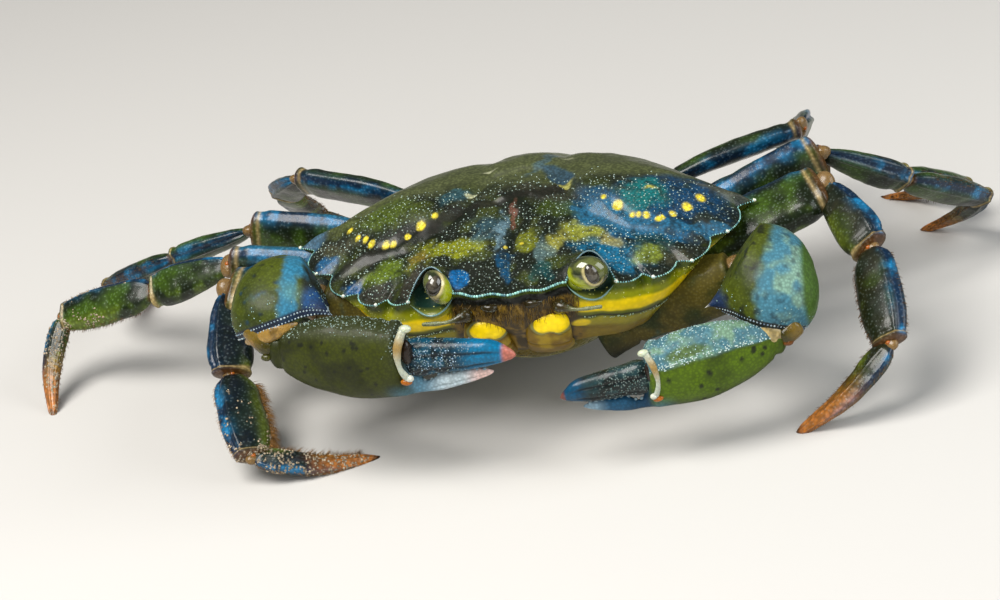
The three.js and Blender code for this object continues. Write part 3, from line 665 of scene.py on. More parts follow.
# Pigment zones on the top: colour, strength, and (x, y, radius, radius, turn) of a soft ellipse.
ZONES = [
    ((96, 104, 56), 0.5, (-22.8, 2.5, 4.7, 3.6, 25)), ((64, 92, 104), 0.6, (2.9, 7.4, 3.9, 0.8, 68)),
    ((4, 54, 88), 0.95, (17.9, -4.6, 9.1, 5, 20)), ((22, 70, 98), 0.9, (9.5, -3.9, 4.4, 2.5, 155)),
    ((8, 94, 128), 0.95, (13, -13.3, 4.4, 2.8, -17)), ((32, 92, 122), 0.9, (12.1, -6.7, 5.3, 2.4, 164)),
    ((14, 84, 120), 0.9, (18.5, -8.3, 4.9, 1.7, 5)), ((16, 104, 100), 0.8, (16.4, -2.5, 2.8, 2.4, -9)),
    ((20, 96, 92), 0.7, (16, -5.2, 2, 1.1, 4)), ((14, 50, 50), 0.85, (17.6, -10.3, 2.6, 1.6, -15)),
    ((112, 124, 40), 0.85, (17.4, -12.9, 1.9, 1.6, 7)), ((54, 54, 38), 0.9, (21, -12.7, 2.3, 1.5, 41)),
    ((24, 30, 14), 0.9, (24.1, -7.2, 2.1, 1.7, -7)), ((146, 150, 48), 0.8, (8.7, -9.2, 2.4, 1.5, -16)),
    ((146, 144, 60), 0.75, (5.6, -11.2, 2.2, 0.9, 32)), ((150, 140, 70), 0.7, (12.3, -10.5, 1.7, 0.8, -21)),
    ((56, 70, 16), 0.8, (5.4, -4, 2.3, 2.7, 6)), ((46, 46, 34), 0.9, (3.5, -0.9, 4.6, 1.6, -2)),
    ((128, 134, 20), 0.85, (-8.1, -9.7, 4.6, 1.6, -15)), ((106, 110, 22), 0.7, (-12.1, -11, 1.9, 1.6, 17)),
    ((52, 84, 96), 0.7, (-3.6, -8.2, 2.1, 2.7, 36)), ((92, 120, 132), 0.85, (-1.9, -8.5, 4, 0.6, 91)),
    ((104, 66, 52), 0.8, (-0.6, -5.8, 2.3, 0.5, 89)), ((10, 72, 108), 0.75, (-0.9, -15.7, 3.2, 0.7, 87)),
    ((108, 114, 22), 0.85, (2, -11.4, 2.3, 1.1, 86)), ((80, 104, 104), 0.75, (3.9, -13.2, 2.4, 0.9, 92)),
    ((14, 74, 78), 0.6, (4.5, -17, 1.8, 1.1, 65)), ((90, 110, 22), 0.85, (-17.2, -12.3, 2.9, 2.2, 31)),
    ((44, 40, 32), 0.9, (-13.1, -14.9, 3.5, 1.2, 72)), ((42, 38, 30), 0.85, (-18.4, -15.1, 2.6, 0.9, -2)),
    ((2, 76, 126), 0.95, (-21.6, -12.6, 1.4, 1.1, 55)), ((26, 84, 124), 0.9, (-25.5, -7.1, 1.8, 1, 1)),
    ((66, 100, 124), 0.85, (-28.6, -0.3, 2.5, 2, -15)), ((66, 64, 50), 0.7, (-24.6, -4.5, 2.2, 1.6, 4)),
    ((74, 90, 20), 0.8, (-17.3, -1.2, 3.4, 3, 35)), ((40, 80, 92), 0.7, (-8.4, -0.2, 2.5, 1.2, 46)),
    ((120, 90, 34), 0.4, (-12.6, -10.4, 1.5, 1, 33)), ((30, 66, 92), 0.7, (5.1, 3, 3, 1.2, -53)),
    ((80, 82, 68), 0.8, (25.5, 0.2, 3, 0.9, 0)),
    ((176, 178, 140), 0.8, (-6.6, 0.4, 0.7, 0.5, 0)), ((170, 172, 140), 0.8, (-4.6, 6.4, 1.1, 0.4, 10)),
    ((164, 160, 80), 0.8, (6.2, 0.6, 0.9, 0.5, 30)), ((176, 166, 60), 0.8, (17.4, -2.4, 0.9, 0.4, 20)),
    ((150, 152, 120), 0.7, (5.7, 7.6, 1.3, 0.6, -40)),
]
# Smooth ridges that run over the top: their colour, line and half width.
SMOOTH_RIDGES = [
    (rgb(26, 24, 19),
     [(-22.7, -8.7), (-19.2, -8.3), (-15.3, -6.9), (-10.1, -4.3), (-5, -2.2), (0.4, -1.9), (5, -0.5)], 1.0),
    (rgb(36, 92, 122), [(7.6, -4.4), (10.8, -6.2), (16, -8.2), (22.2, -7.2), (26, -7.4)], 0.8),
]
# Yellow dots, most in a row on each side: x, y and radius.
DOTS = [
    (-10.8, -3.5, 0.42), (-12.6, -4.7, 0.62), (-14.3, -6, 0.42), (-16.2, -6.8, 0.42), (-17.2, -6.7, 0.5),
    (-19.2, -5.9, 0.5), (-20.1, -4.8, 0.4), (-21.2, -4.1, 0.36), (-22.5, -2.2, 0.42),
    (11.3, -3.4, 0.34), (13.1, -4.7, 0.66), (15, -6.2, 0.36), (15.8, -6.3, 0.34), (16.8, -6.4, 0.42),
    (18.3, -6.9, 0.42), (18.8, -6.6, 0.34), (20.1, -5.7, 0.42), (21.9, -4.3, 0.62), (23.5, -2.3, 0.58),
    (-0.9, -12, 0.26), (1.2, -11.6, 0.24),
]
# The blue spot beside the right orbit: its colour, and its x, y and radii.
SPOT_BLUE, BLUE_SPOT = rgb(6, 84, 136), (-6.5, -16.9, 1.25, 1.8)


def granular(x, y):
    """Where the shell's top is covered in granules: forward of a soft line, off smooth ridges."""
    side = abs(x)
    cover = 1 - smooth(-1, 5, y + 0.05 * side + 1.2 * noise(level(x, y), 4, 5))
    for _, line, width in SMOOTH_RIDGES:
        cover = cover * (1 - 0.95 * near(x, y, line, width))
    for line, width, _ in RIDGES[:2]:
        cover = cover * (1 - 0.7 * near(side, y, line, width * 0.9))
    return cover


def shell_tint(points):
    """The top's pigment: green-black in front running to smooth olive behind, then the zones,
    with wandering edges, the smooth ridges and the row of yellow dots."""
    x, y = points[..., 0], points[..., 1]
    flat = level(x, y)
    wander = noise(flat, 2.4, 2)
    wx, wy = x + 0.9 * wander, y + 0.9 * noise(flat, 2.4, 3)
    behind = smooth(-2, 4, y + 1.4 * wander)
    tint = layered(
        paint(OLIVE_BLACK, BACK_OLIVE, behind),
        (rgb(52, 60, 18), (1 - behind) * smooth(0, 0.7, noise(flat, 3, 7))),
        (BACK_PALE, smooth(5, 20, y + 2.4 * noise(flat, 5, 4)) * 0.75),
    )
    texture = 1 + 0.55 * noise(flat, 1.1, 9)
    for colour, strength, patch in ZONES:
        tint = paint(tint, rgb(*colour), strength * smooth(0.1, 0.62, blob(wx, wy, patch) * texture))
    for colour, line, width in SMOOTH_RIDGES:
        tint = paint(tint, colour, 0.85 * smooth(0.25, 0.7, near(wx, wy, line, width)))
    freckle = smooth(0.2, 0.7, noise(flat, 0.8, 6, 2))
    tint = paint(tint, rgb(12, 18, 12), 0.55 * freckle * (1 - 0.75 * behind))
    spot_x, spot_y, wide, long = BLUE_SPOT
    tint = paint(tint, SPOT_BLUE, smooth(1.1, 0.85, np.hypot((x - spot_x) / wide, (y - spot_y) / long)))
    for dot_x, dot_y, radius in DOTS:
        tint = paint(tint, DOT, smooth(1.25, 0.7, np.hypot(x - dot_x, y - dot_y) / radius))
    return np.concatenate([tint, granular(x, y)[..., None]], -1)


def fold_tint(points, drop):
    """The under side's bands: green with pale grains under the beaded edge, bright yellow at
    the front, a dark seam, olive again, and tan below. The mouth's frame in front is brown, near
    black just under the edge as painted shade of the gap there. The eye sockets are dark green,
    deepened as painted shade in the hollows."""
    x, y, z = np.moveaxis(points, -1, 0)
    wide = mix(1, 0.6, smooth(18, 27, abs(x)))
    wave = drop / wide + 0.25 * noise(points, 2.4, 11, 2)
    front = smooth(1, -6, y)
    mouth = smooth(8.6, 7.4, abs(x)) * smooth(-14, -16, y)
    brown = clouded(points, rgb(52, 40, 14), rgb(118, 92, 26), -0.2, 0.6, 0.8, 13)
    # Near black just under the front edge over the mouth: painted shade of the gap under the edge.
    brown = paint(brown, rgb(10, 10, 6), smooth(2.1, 1.5, drop))
    row = np.arange(len(points))[:, None]
    socket = np.clip(2.5 * SOCKET, 0, 1) * smooth(SOCKET_ROWS + 1, SOCKET_ROWS - 2, row) * smooth(0, 2, row)
    tint = layered(
        clouded(points, rgb(70, 84, 14), rgb(34, 50, 14), -0.1, 0.8, 1.2, 12),
        (rgb(122, 124, 16), 0.8 * smooth(0.9, 1.7, wave)),
        (rgb(134, 138, 8), front * smooth(1.5, 2, wave) * smooth(4.6, 4, wave)),
        (YELLOW, front * smooth(2.5, 3, wave) * smooth(4.6, 4.2, wave)),
        (rgb(92, 98, 16), smooth(4.2, 4.6, wave)),
        (rgb(18, 24, 10), 0.95 * bump(wave, 5, 0.22)),
        (rgb(140, 132, 22), smooth(5.2, 5.6, wave)),
        (rgb(116, 98, 18), smooth(6.2, 7.4, wave)),
        (rgb(56, 64, 30), smooth(-4, 4, y) * 0.8),
        (brown, mouth * smooth(0.5, 0.8, drop)),
        (YELLOW, smooth(0.3, 0.6, blob(x, z, (8, -6.3, 1.3, 0.8, 0))) * (y < -12)),
        # The sockets' dark green: the walls' own teal, darkened further as painted shade in the hollows.
        (rgb(14, 40, 32), socket),
    )
    return np.concatenate([tint, (0.6 * smooth(2.4, 0.8, drop))[..., None]], -1)


# ------------------------------------------------------------------ granules and bristles
def strewn(points, cover, spacing):
    """Which points of a grid carry a granule: a draw whose chance is the area of the point's
    cell times its cover, over the square of the spacing."""
    area = np.linalg.norm(np.cross(np.gradient(points, axis=0), np.gradient(points, axis=1)), axis=-1)
    return random.random(area.shape) < cover * area / spacing ** 2


def sow(form, points, outward, cover, spacing, radii, tint, shade=None, sides=6):
    """Strews granules over a grid: domes with radii drawn from a span, of one colour or of
    colours drawn between tint and shade."""
    chosen = strewn(points, cover, spacing)
    number = chosen.sum()
    tint = tint if shade is None else drawn(tint, shade, number)
    form.domes(points[chosen], outward[chosen], random.uniform(*radii, number), tint, sides=sides)


def scattered(low, high, spacing):
    """Places of a square net of the given spacing, each moved at random by up to 0.4 of it."""
    axes = [np.arange(a, b, spacing) for a, b in zip(low, high)]
    net = np.stack(np.meshgrid(*axes, indexing="ij"), -1).reshape(-1, len(axes))
    return net + random.uniform(-0.4, 0.4, net.shape) * spacing


HAIR_DROOP, HAIR_SIDES, HAIR_STEPS, HAIR_PATCH = 0.2, 3, 4, 0.003
UNWRAP_WIDTH, UNWRAP_DROP = 60, 20


def hairs(form, roots, ways, lengths, width, tint, unwrap):
    """Bristles: thin cones from roots along ways, bent down by HAIR_DROOP times the square of
    the share of the length. Each takes a small patch at its root's place on the unwrap."""
    sides, steps = HAIR_SIDES, HAIR_STEPS
    ways = unit(ways)
    first = unit(np.cross(ways, X + 0.3 * Z))
    second = np.cross(ways, first)
    share = np.linspace(0, 1, steps)
    angle = np.arange(sides) * 2 * np.pi / sides
    centre = roots[:, None] + ways[:, None] * (lengths[:, None] * share)[..., None]
    centre = centre - Z * (HAIR_DROOP * lengths[:, None] * share ** 2)[..., None]
    centre[..., 2] = np.maximum(centre[..., 2], FLOOR_Z + width)
    radius = (width * (1 - 0.85 * share))[None, :, None, None]
    rim = first[:, None, None] * np.cos(angle)[:, None] + second[:, None, None] * np.sin(angle)[:, None]
    points = centre[:, :, None] + rim * radius
    base = np.arange(len(roots))[:, None, None] * steps * sides
    ring, row = np.meshgrid(np.arange(sides), np.arange(steps - 1))
    a, b = (row * sides + ring).ravel(), (row * sides + (ring + 1) % sides).ravel()
    quads = base + np.stack([a, b, b + sides, a + sides], -1)[None]
    ends = base + (np.arange(sides) + (steps - 1) * sides)[None, None]
    patch = np.stack(np.meshgrid(share - 0.5, np.arange(sides) / sides - 0.5, indexing="ij"), -1)
    patch = HAIR_PATCH * patch.reshape(1, -1, 2)
    tint = np.repeat(tint, steps * sides, 0)
    form.add(points.reshape(-1, 3), tint, [quads.reshape(-1, 4), ends.reshape(-1, sides)],
             (unwrap[:, None] + patch).reshape(-1, 2))


# ------------------------------------------------------------------ shell: its pieces
def build_top():
    """The top's grid, closed in the middle by a fan round one point."""
    share = np.linspace(0, 1, TOP_ROWS) ** 0.8
    share[0] = 0.004
    top = shell_top(share)
    form = Form()
    form.grid(top, shell_tint(top), caps=False)
    middle, ring = top[0].mean(0), np.arange(len(EDGE))
    fan = np.stack([ring, np.roll(ring, -1), np.full(len(EDGE), len(EDGE))], -1)
    form.add(np.vstack([top[0], middle]), shell_tint(middle[None])[0], [fan])
    form.piece("shell_top", SHELL, "shell", ["carapace"])


def grain_top(form):
    """Granules on the top: scattered places lifted onto it, densest forward."""
    places = scattered((-29, -21), (29, 7), 0.6)
    x, y = places.T
    cover = granular(x, y) * (0.8 + 0.5 * noise(level(x, y), 2.2, 14))
    places = places[random.random(len(places)) < cover]
    centres, normal, share = on_top(places)
    centres, normal = centres[share < 0.975], normal[share < 0.975]
    radii = random.uniform(0.07, 0.14, len(centres))
    tint = paint(shell_tint(centres)[:, :3], PEARLY, random.uniform(0.1, 0.75, len(centres)))
    form.domes(centres, normal, radii, tint)


def bead_edge(form):
    """Beads along the front, the eye notches and the teeth, and larger tips on the teeth."""
    beads = spaced(EDGE, 0.34)
    beads = beads[beads[:, 1] < 5]
    outward = unit(np.c_[beads[:, :2] - CENTRE, 0.5 * np.ones(len(beads))])
    shade = drawn(BEAD, rgb(52, 96, 112), len(beads), 0.9)
    size = mix(0.13, 0.2, smooth(9, 6, abs(beads[:, 0]))) * random.uniform(0.85, 1.1, len(beads))
    form.domes(beads, outward, size, shade, height=0.8)
    tips = np.vstack([TEETH, TEETH * [-1, 1, 1]])
    outward = unit(tips * [1, 1, 0] - [0, CENTRE[1], 0])
    form.domes(tips + Y * 0.25, outward, 0.26, rgb(205, 210, 195), height=1.3, sides=10)


def build_orbit_rims(under):
    """Raised pale rims above and below each eye socket: thin tubes that taper at their ends."""
    form = Form()
    rims = np.nonzero(SOCKET > 0.03)[0]
    for half in (rims[rims < len(EDGE) // 2], rims[rims > len(EDGE) // 2]):
        inwards = np.linspace(0, 1, len(half))
        ends = smooth(-0.02, 0.2, np.minimum(inwards, inwards[::-1]))
        for curve, radius, colour in ((EDGE[half] + [0, -0.1, 0.05], 0.1, rgb(96, 120, 128)),
                                      (under[SOCKET_ROWS, half] + [0, -0.12, 0.1], 0.13, rgb(104, 136, 132))):
            points, _ = tube(curve, Z, radius * ends, radius * ends, 10)
            form.grid(points, colour)
    form.piece("orbit_rims", PEARL, "shell")


def build_shell():
    """The top, the fold under its edge, their granules, the mouth's bristles and the rims."""
    build_top()
    under, drop = shell_fold()
    form = Form()
    form.grid(under, fold_tint(under, drop), caps=False)
    form.piece("shell_fold", FOLD, "shell")

    form = Form()
    grain_top(form)
    bead_edge(form)
    # Grains on the olive band under the edge, and a beaded seam below the yellow band.
    across, y = abs(under[..., 0]), under[..., 1]
    outward = normals_of(under)
    band = smooth(0.9, 1.3, drop) * smooth(3, 2, drop) * (y < 2) * (across > 8)
    sow(form, under, outward, band, 0.75, (0.07, 0.12), rgb(176, 178, 96))
    seam = bump(drop, 5.3, 0.16) * (y < 0) * (across > 8)
    sow(form, under, outward, seam, 0.3, (0.08, 0.12), rgb(150, 170, 140))
    form.piece("shell_granules", PEARL, "shell")

    # Short brown bristles over the mouth's frame, hanging down.
    mouth = (across < 8.4) & (y < -14.5)
    roots = strewn(under, mouth * smooth(1.3, 1.7, drop) * smooth(4.5, 3.9, drop) * 0.9, 0.32)
    number = roots.sum()
    ways = outward[roots] * 0.7 - Z + random.uniform(-0.5, 0.5, (number, 3))
    tints = drawn(rgb(140, 110, 40), rgb(52, 34, 12), number)
    unwrap = np.stack([under[roots][:, 0] / UNWRAP_WIDTH + 0.5, drop[roots] / UNWRAP_DROP], -1)
    form = Form()
    hairs(form, under[roots], ways, random.uniform(0.4, 1.0, number), 0.05, tints, unwrap)
    form.piece("mouth_bristles", BRISTLE, "underside")
    build_orbit_rims(under)


# ------------------------------------------------------------------ limb surfaces
def along(points, t):
    """A smooth curve through points, at shares t of its chord length."""
    points = np.array(points, float)
    places = distances(points)
    places /= places[-1]
    return np.stack([profile(t, list(zip(places, points[:, k]))) for k in range(3)], -1)


def eased(rows, amount):
    """Shares from 0 to 1 that crowd towards both ends: a blend of u and (1 - cos(pi u)) / 2."""
    u = np.linspace(0, 1, rows)
    return mix(u, 0.5 - 0.5 * np.cos(np.pi * u), amount)


def turned(angle, centre):
    """The difference from a centre angle, wrapped to -pi to pi."""
    return (angle - centre + np.pi) % (2 * np.pi) - np.pi


def square_to(way, other):
    """The part of other that is square to way, as a unit vector."""
    return unit(other - way * (other @ way))


LIMB_ROUGHNESS = 0.05


def limb(path, wide, stations, height, flat, rows, sides, power, cap, ridges=(), rings=()):
    """A limb piece. Sections are super-ellipses whose size follows the stations along a smooth
    path and closes as a quarter circle over the last cap millimetres. Ridges (angle, width,
    rise) and rings (share, width, rise) are Gaussians added outwards, with a little noise.
    Returns points, shares, angles and normals."""
    t = eased(rows, 0.75)
    line = along(path, t)
    length = np.linalg.norm(np.diff(line, axis=0), axis=1).sum()
    half = profile(t, stations) * height / 2 * rounded_ends(np.minimum(t, 1 - t) * length, cap, 0.03)
    points, angle = tube(line, wide, half, half * flat, sides, power)
    outward = normals_of(points)
    share = np.broadcast_to(t[:, None], angle.shape)
    window = smooth(0, 0.12, share) * smooth(1, 0.92, share)
    shift = LIMB_ROUGHNESS * noise(points, 1.6, 21) * window
    for centre, width, rise in ridges:
        shift = shift + rise * bump(turned(angle, centre), 0, width) * window
    for place, width, rise in rings:
        shift = shift + rise * bump(share, place, width)
    points = points + outward * shift[..., None]
    points[..., 2] = np.maximum(points[..., 2], FLOOR_Z)
    return points, share, angle, outward


def ball(form, centre, radii, tint, turn=np.eye(3), rows=20, sides=28):
    """An ellipsoid about centre with radii along the columns of turn."""
    form.grid(np.array(centre) + (sphere_grid(rows, sides) * radii) @ turn.T, tint)


def fringe(form, points, share, angle, outward, centre, rows, number, lengths, tint, corner):
    """A line of bristles along a limb: roots drawn at random between two rows near one angle,
    standing outwards and leaning towards the limb's end."""
    low, high = (np.searchsorted(share[:, 0], row) for row in rows)
    row = random.integers(low, high, number)
    column = np.argmin(abs(turned(angle[0], centre))) + random.integers(-2, 3, number)
    column = column % points.shape[1]
    along_limb = unit(np.gradient(points, axis=0))[row, column]
    ways = outward[row, column] + 0.55 * along_limb + random.uniform(-0.25, 0.25, (number, 3))
    unwrap = np.stack([share[row, column] * 0.45 + corner, angle[row, column] / (2 * np.pi)], -1)
    tints = drawn(tint, tint * 0.35, number)
    hairs(form, points[row, column], ways, random.uniform(*lengths, number), 0.045, tints, unwrap)


# ------------------------------------------------------------------ walking legs
# By pair: the left hip, the four pieces' lengths and heights, and how flat they are.
PAIRS = {
    2: ((12, -4.8, -10.8), (30, 13, 14.5, 16.5), (8.2, 5.8, 5.8, 3.3), 0.56),
    3: ((12.8, 2.3, -10.5), (29.5, 13, 16, 14.5), (7, 5.4, 5.2, 3), 0.56),
    4: ((12.3, 9.7, -9.4), (28.5, 12.5, 15.5, 16.5), (6.4, 5, 4.8, 2.8), 0.56),
    5: ((10.5, 17, -7), (26.5, 10.5, 13, 14), (6.2, 4.9, 4.6, 2.6), 0.52),
}
# Pair, side, heading and rise in degrees of the first three pieces, and the dactyl's heading.
POSES = [
    (2, "left", [(17, 20), (-63, -20), (-82, -31)], -167), (3, "left", [(20, 22), (20, -32), (46, -31)], 139),
    (4, "left", [(18, 12), (35, -28), (55, -30)], 140), (5, "left", [(15, 14), (95, -24), (102, -26)], 150),
    (2, "right", [(11, 10), (-95, -33), (-107, -23)], 165),
    (3, "right", [(6, 13), (14, -18), (16, -16)], -83),
    (4, "right", [(9, 13), (10, -17), (30, -25)], 100), (5, "right", [(21, 12), (60, -30), (100, -38)], 150),
]
LEG_ARCH, ISCHIUM, DACTYL_BOW, FOOT_SINK = 1.2, 0.34, 1.1, 0.35
LEG_ROWS, LEG_SIDES, LEG_CAP, LEG_POWER = 100, 64, 0.5, 0.78
QUARTER = np.pi / 2
UPPER_LEG = [(0, 0.6), (0.12, 0.6), (0.3, 0.74), (0.5, 0.96), (0.8, 1), (0.95, 0.9), (1, 0.72)]
CARPUS = [(0, 0.34), (0.14, 0.6), (0.45, 0.9), (0.8, 1), (1, 0.8)]
PROPODUS = [(0, 0.4), (0.1, 0.76), (0.4, 1), (0.75, 0.98), (1, 0.72)]
DACTYL = [(0, 0.5), (0.12, 0.96), (0.35, 0.98), (0.7, 0.66), (1, 0.26)]

LEG_GREEN, LEG_DARK, LEG_BLUE, LEG_NAVY = rgb(54, 78, 12), rgb(18, 26, 10), rgb(20, 104, 148), rgb(10, 36, 62)
CREAM, CONDYLE, RIM_BROWN, MEMBRANE = rgb(170, 146, 96), rgb(146, 78, 18), rgb(96, 62, 28), rgb(112, 88, 52)
HORN, GRIT = rgb(168, 104, 40), rgb(176, 158, 132)
BRISTLE_BROWN, THICK_BROWN = rgb(112, 78, 34), rgb(156, 112, 54)

# Bristle fringes: the rows they run between and their corner of the unwrap. The one leg whose
# bristles are long and dense, and the legs with sand on.
FRINGED = {"propodus": ((0.12, 0.95), 0.0), "dactyl": ((0.04, 0.86), 0.5)}
SHAGGY = (2, "right")
GRITTY = {(2, "right"), (3, "right")}


def leg_details(sign):
    """By piece: its stations, its ridges (angle, width, rise) and its rings (share, width, rise)."""
    front, between = QUARTER - sign * 0.9, QUARTER - sign * 0.5
    return {
        "merus": (UPPER_LEG, [(QUARTER, 0.22, 0.3), (0, 0.5, -0.14), (np.pi, 0.5, -0.14)],
                  [(0.13, 0.012, -0.45), (0.31, 0.012, -0.4), (0.97, 0.012, 0.22), (0.93, 0.02, -0.15)]),
        "carpus": (CARPUS, [(QUARTER, 0.2, 0.28), (front, 0.18, 0.25), (between, 0.2, -0.2)],
                   [(0.965, 0.014, 0.2), (0.9, 0.03, -0.12)]),
        "propodus": (PROPODUS, [(QUARTER, 0.2, 0.22), (front, 0.16, 0.2), (-QUARTER, 0.25, 0.15),
                                (between, 0.2, -0.15)], [(0.965, 0.012, 0.18), (0.92, 0.025, -0.1)]),
        "dactyl": (DACTYL, [(k * np.pi / 3, 0.2, 0.2) for k in range(6)], [(0.06, 0.03, 0.12)]),
    }


def direction(sign, heading, elevation):
    """A unit vector from its heading and rise in degrees, mirrored by sign."""
    turn, rise = np.radians([heading, elevation])
    return np.array([sign * np.cos(turn) * np.cos(rise), np.sin(turn) * np.cos(rise), np.sin(rise)])


def leg_parts(pair, side, turns, dactyl):
    """Joints, ways and the four pieces' paths and wide directions, down to the floor."""
    sign = 1 if side == "left" else -1
    hip, lengths, heights, flat = PAIRS[pair]
    ways = [direction(sign, *turn) for turn in turns]
    joints = [np.array(hip) * [sign, 1, 1]]
    for way, length in zip(ways, lengths):
        joints.append(joints[-1] + way * length)
    fall = np.arcsin((joints[3][2] - FLOOR_Z + FOOT_SINK) / lengths[3])
    ways.append(direction(sign, dactyl, -np.degrees(fall)))
    joints.append(joints[3] + ways[3] * lengths[3])
    knee = mix(joints[0], joints[1], ISCHIUM) + Z * LEG_ARCH
    outward = square_to(ways[3], ways[2])
    curl = mix(joints[3], joints[4], 0.5) + outward * DACTYL_BOW
    bends = [-square_to(ways[k], ways[k + 1]) for k in (0, 2)]
    paths = [[joints[0], knee, joints[1]], joints[1:3], joints[2:4], [joints[3], curl, joints[4]]]
    wides = [bends[0], bends[1], bends[1], outward]
    return sign, joints, ways, list(zip(paths, wides, heights)), flat


def leg_tint(points, share, angle, sign, pair, kind):
    """Green to black-green faces, a blue band along the crest, and brown rims at the joints."""
    cloud = noise(points, 3.4, 30 + pair)
    tint = paint(LEG_DARK, LEG_GREEN, smooth(-0.5, 0.6, cloud))
    ahead = np.cos(angle) * sign
    crest = bump(turned(angle, QUARTER - sign * 0.35), 0, 0.5)
    if pair == 2:
        dark, strength = (rgb(6, 14, 30), 0.85) if sign < 0 else (rgb(34, 30, 10), 0.6)
        tint = paint(tint, dark, strength * (kind != "merus") * smooth(-0.5, 0.3, cloud + 0.6 * ahead))
    below = -np.sin(angle)
    tint = layered(
        tint,
        (clouded(points, LEG_NAVY, LEG_BLUE, -0.2, 0.6, 2.2, 40 + pair), np.clip(crest * 1.1, 0, 1)),
        (rgb(104, 118, 34), 0.55 * smooth(0.1, 0.8, below) * smooth(-0.3, 0.6, cloud)),
    )
    if kind == "dactyl":
        tint = paint(tint, HORN, smooth(0.25, 0.85, share + 0.12 * cloud))
        tint = paint(tint, rgb(96, 52, 22), smooth(0.9, 1, share))
    else:
        width = 0.008 + 0.02 * smooth(-0.2, 0.8, below) * (kind == "carpus")
        ends = np.maximum(smooth(0.05, 0.01, share), smooth(0.955, 0.985, share))
        tint = paint(tint, RIM_BROWN, 0.85 * ends)
        tint = paint(tint, CREAM, 0.75 * bump(share, 0.95, width))
    return np.concatenate([tint, 0.4 + 0 * share[..., None]], -1)


def build_leg(pair, side, turns, dactyl):
    """One walking leg: its four pieces, the bristles and grit on the outer two, and its joints."""
    sign, joints, ways, parts, flat = leg_parts(pair, side, turns, dactyl)
    leg = f"leg{pair}_{side}"
    bristles, grit = Form(), Form()
    for (kind, (stations, ridges, rings)), (path, wide, height) in zip(leg_details(sign).items(), parts):
        power, material, slot = (1, TIP, "leg_tip") if kind == "dactyl" else (LEG_POWER, LEG, "leg_shell")
        points, share, angle, outward = limb(path, wide, stations, height, flat, LEG_ROWS, LEG_SIDES,
                                             power, LEG_CAP, ridges, rings)
        plate(f"{leg}_{kind}", points, leg_tint(points, share, angle, sign, pair, kind), material, slot)
        if kind not in FRINGED:
            continue
        rows, corner = FRINGED[kind]
        brown = THICK_BROWN if (pair, side) == SHAGGY else BRISTLE_BROWN
        for centre in (-QUARTER, -QUARTER + 0.35, QUARTER):
            long = (pair, side) == SHAGGY and centre < 0
            number, lengths = (420, (0.8, 1.6)) if long else (70, (0.25, 0.5))
            fringe(bristles, points, share, angle, outward, centre, rows, number, lengths, brown, corner)
        if (pair, side) in GRITTY:
            outer = 0.9 if kind == "dactyl" else 1.1 * (share - 0.5)
            cover = smooth(0.3, 0.9, noise(points, 1.6, 45, 2) + outer)
            sow(grit, points, outward, cover, 0.42, (0.1, 0.22), GRIT, GRIT * 0.45, sides=5)
    bristles.piece(f"{leg}_fringe", BRISTLE, "leg_shell")
    if grit.count:
        grit.piece(f"{leg}_grit", TIP, "leg_tip")
    build_leg_joints(leg, sign, joints, ways, parts, flat)


def build_leg_joints(leg, sign, joints, ways, parts, flat):
    """At each joint a ball of skin between two small knobs, which the piece above carries."""
    form = Form()
    for k, share in ((1, 0.27), (2, 0.24), (3, 0.22)):
        way = unit(ways[k - 1] + ways[k])
        wide = square_to(way, parts[k][1])
        side = np.cross(way, wide)
        turn = np.column_stack([side, wide, way])
        size = parts[k - 1][2] * share
        ball(form, joints[k], (size * flat * 0.9, size * 0.9, size * 0.7), MEMBRANE, turn)
        for face in (1, -1):
            knob = joints[k] + side * face * size * flat * 0.8
            ball(form, knob, (0.24, 0.34, 0.34), CONDYLE if face == sign or k == 1 else CREAM, turn, 10, 14)
    form.piece(f"{leg}_joints", SKIN, "leg_shell")


# ------------------------------------------------------------------ claws
# Joints and tips of both claws; the wrist's tooth, and the plane that cuts it off (edge, facing)
# towards the palm; its inner side is flatter: slope is the way it faces, reach how far out it
# may come. palm is the palm's height, lift raises the wrist's middle, open parts the fingers,
# and hinge moves the knuckle's membrane.
CLAWS = {
    "left": dict(
        coxa=(9, -10.2, -12.6), elbow=(27.6, -9.6, -5.6), wrist=(33.8, -22.4, -8.4),
        knuckle=(16.8, -26.2, -10.2), tip=(5.6, -27.6, -11.4), tooth=(23.9, -20.6, -4.6),
        edge=(30.5, -19.3, -7.6), facing=(-0.35, -0.25, -0.9), slope=(-0.8, 0.13, 0.59), reach=3.2,
        palm=9.8, lift=3.9, open=0.025, hinge=(0, 0.5, 0)),
    "right": dict(
        coxa=(-9, -10.2, -12.6), elbow=(-26.8, -9.6, -3.6), wrist=(-31.2, -22.8, -3.2),
        knuckle=(-13.4, -26.2, -4.5), tip=(0.6, -27.6, -4.9), tooth=(-22.3, -21.2, -0.2),
        edge=(-28.4, -21.4, -0.4), facing=(0.25, -0.35, -0.9), slope=(0.922, 0.28, 0.267), reach=4.5,
        palm=11, lift=3, open=0.03, hinge=(1.1, 1.1, 0)),
}
ARM_STATIONS = [(0, 0.8), (0.22, 0.68), (0.36, 0.74), (0.7, 1), (0.92, 0.96), (1, 0.74)]
CLAW_CARPUS_STATIONS = [(0, 0.4), (0.1, 0.66), (0.32, 0.94), (0.6, 1), (0.85, 0.82), (1, 0.5)]
PALM_SIZE = [(0, 0.3), (0.08, 0.42), (0.25, 0.7), (0.45, 0.9), (0.65, 0.97), (0.88, 0.9), (1, 0.8),
             (1.07, 0.38), (1.35, 0.2), (1.6, 0.15), (1.8, 0.06)]
PALM_DROP = [(0, 0.02), (0.08, 0.02), (0.25, 0.02), (0.45, 0.02), (0.65, 0.03), (0.88, 0.03), (1, 0.05),
             (1.07, 0.25), (1.35, 0.3), (1.6, 0.24), (1.8, 0.2)]
FINGER_SIZE = [(0.97, 0.3), (1.05, 0.42), (1.3, 0.41), (1.6, 0.36), (1.85, 0.26), (2.02, 0.07)]
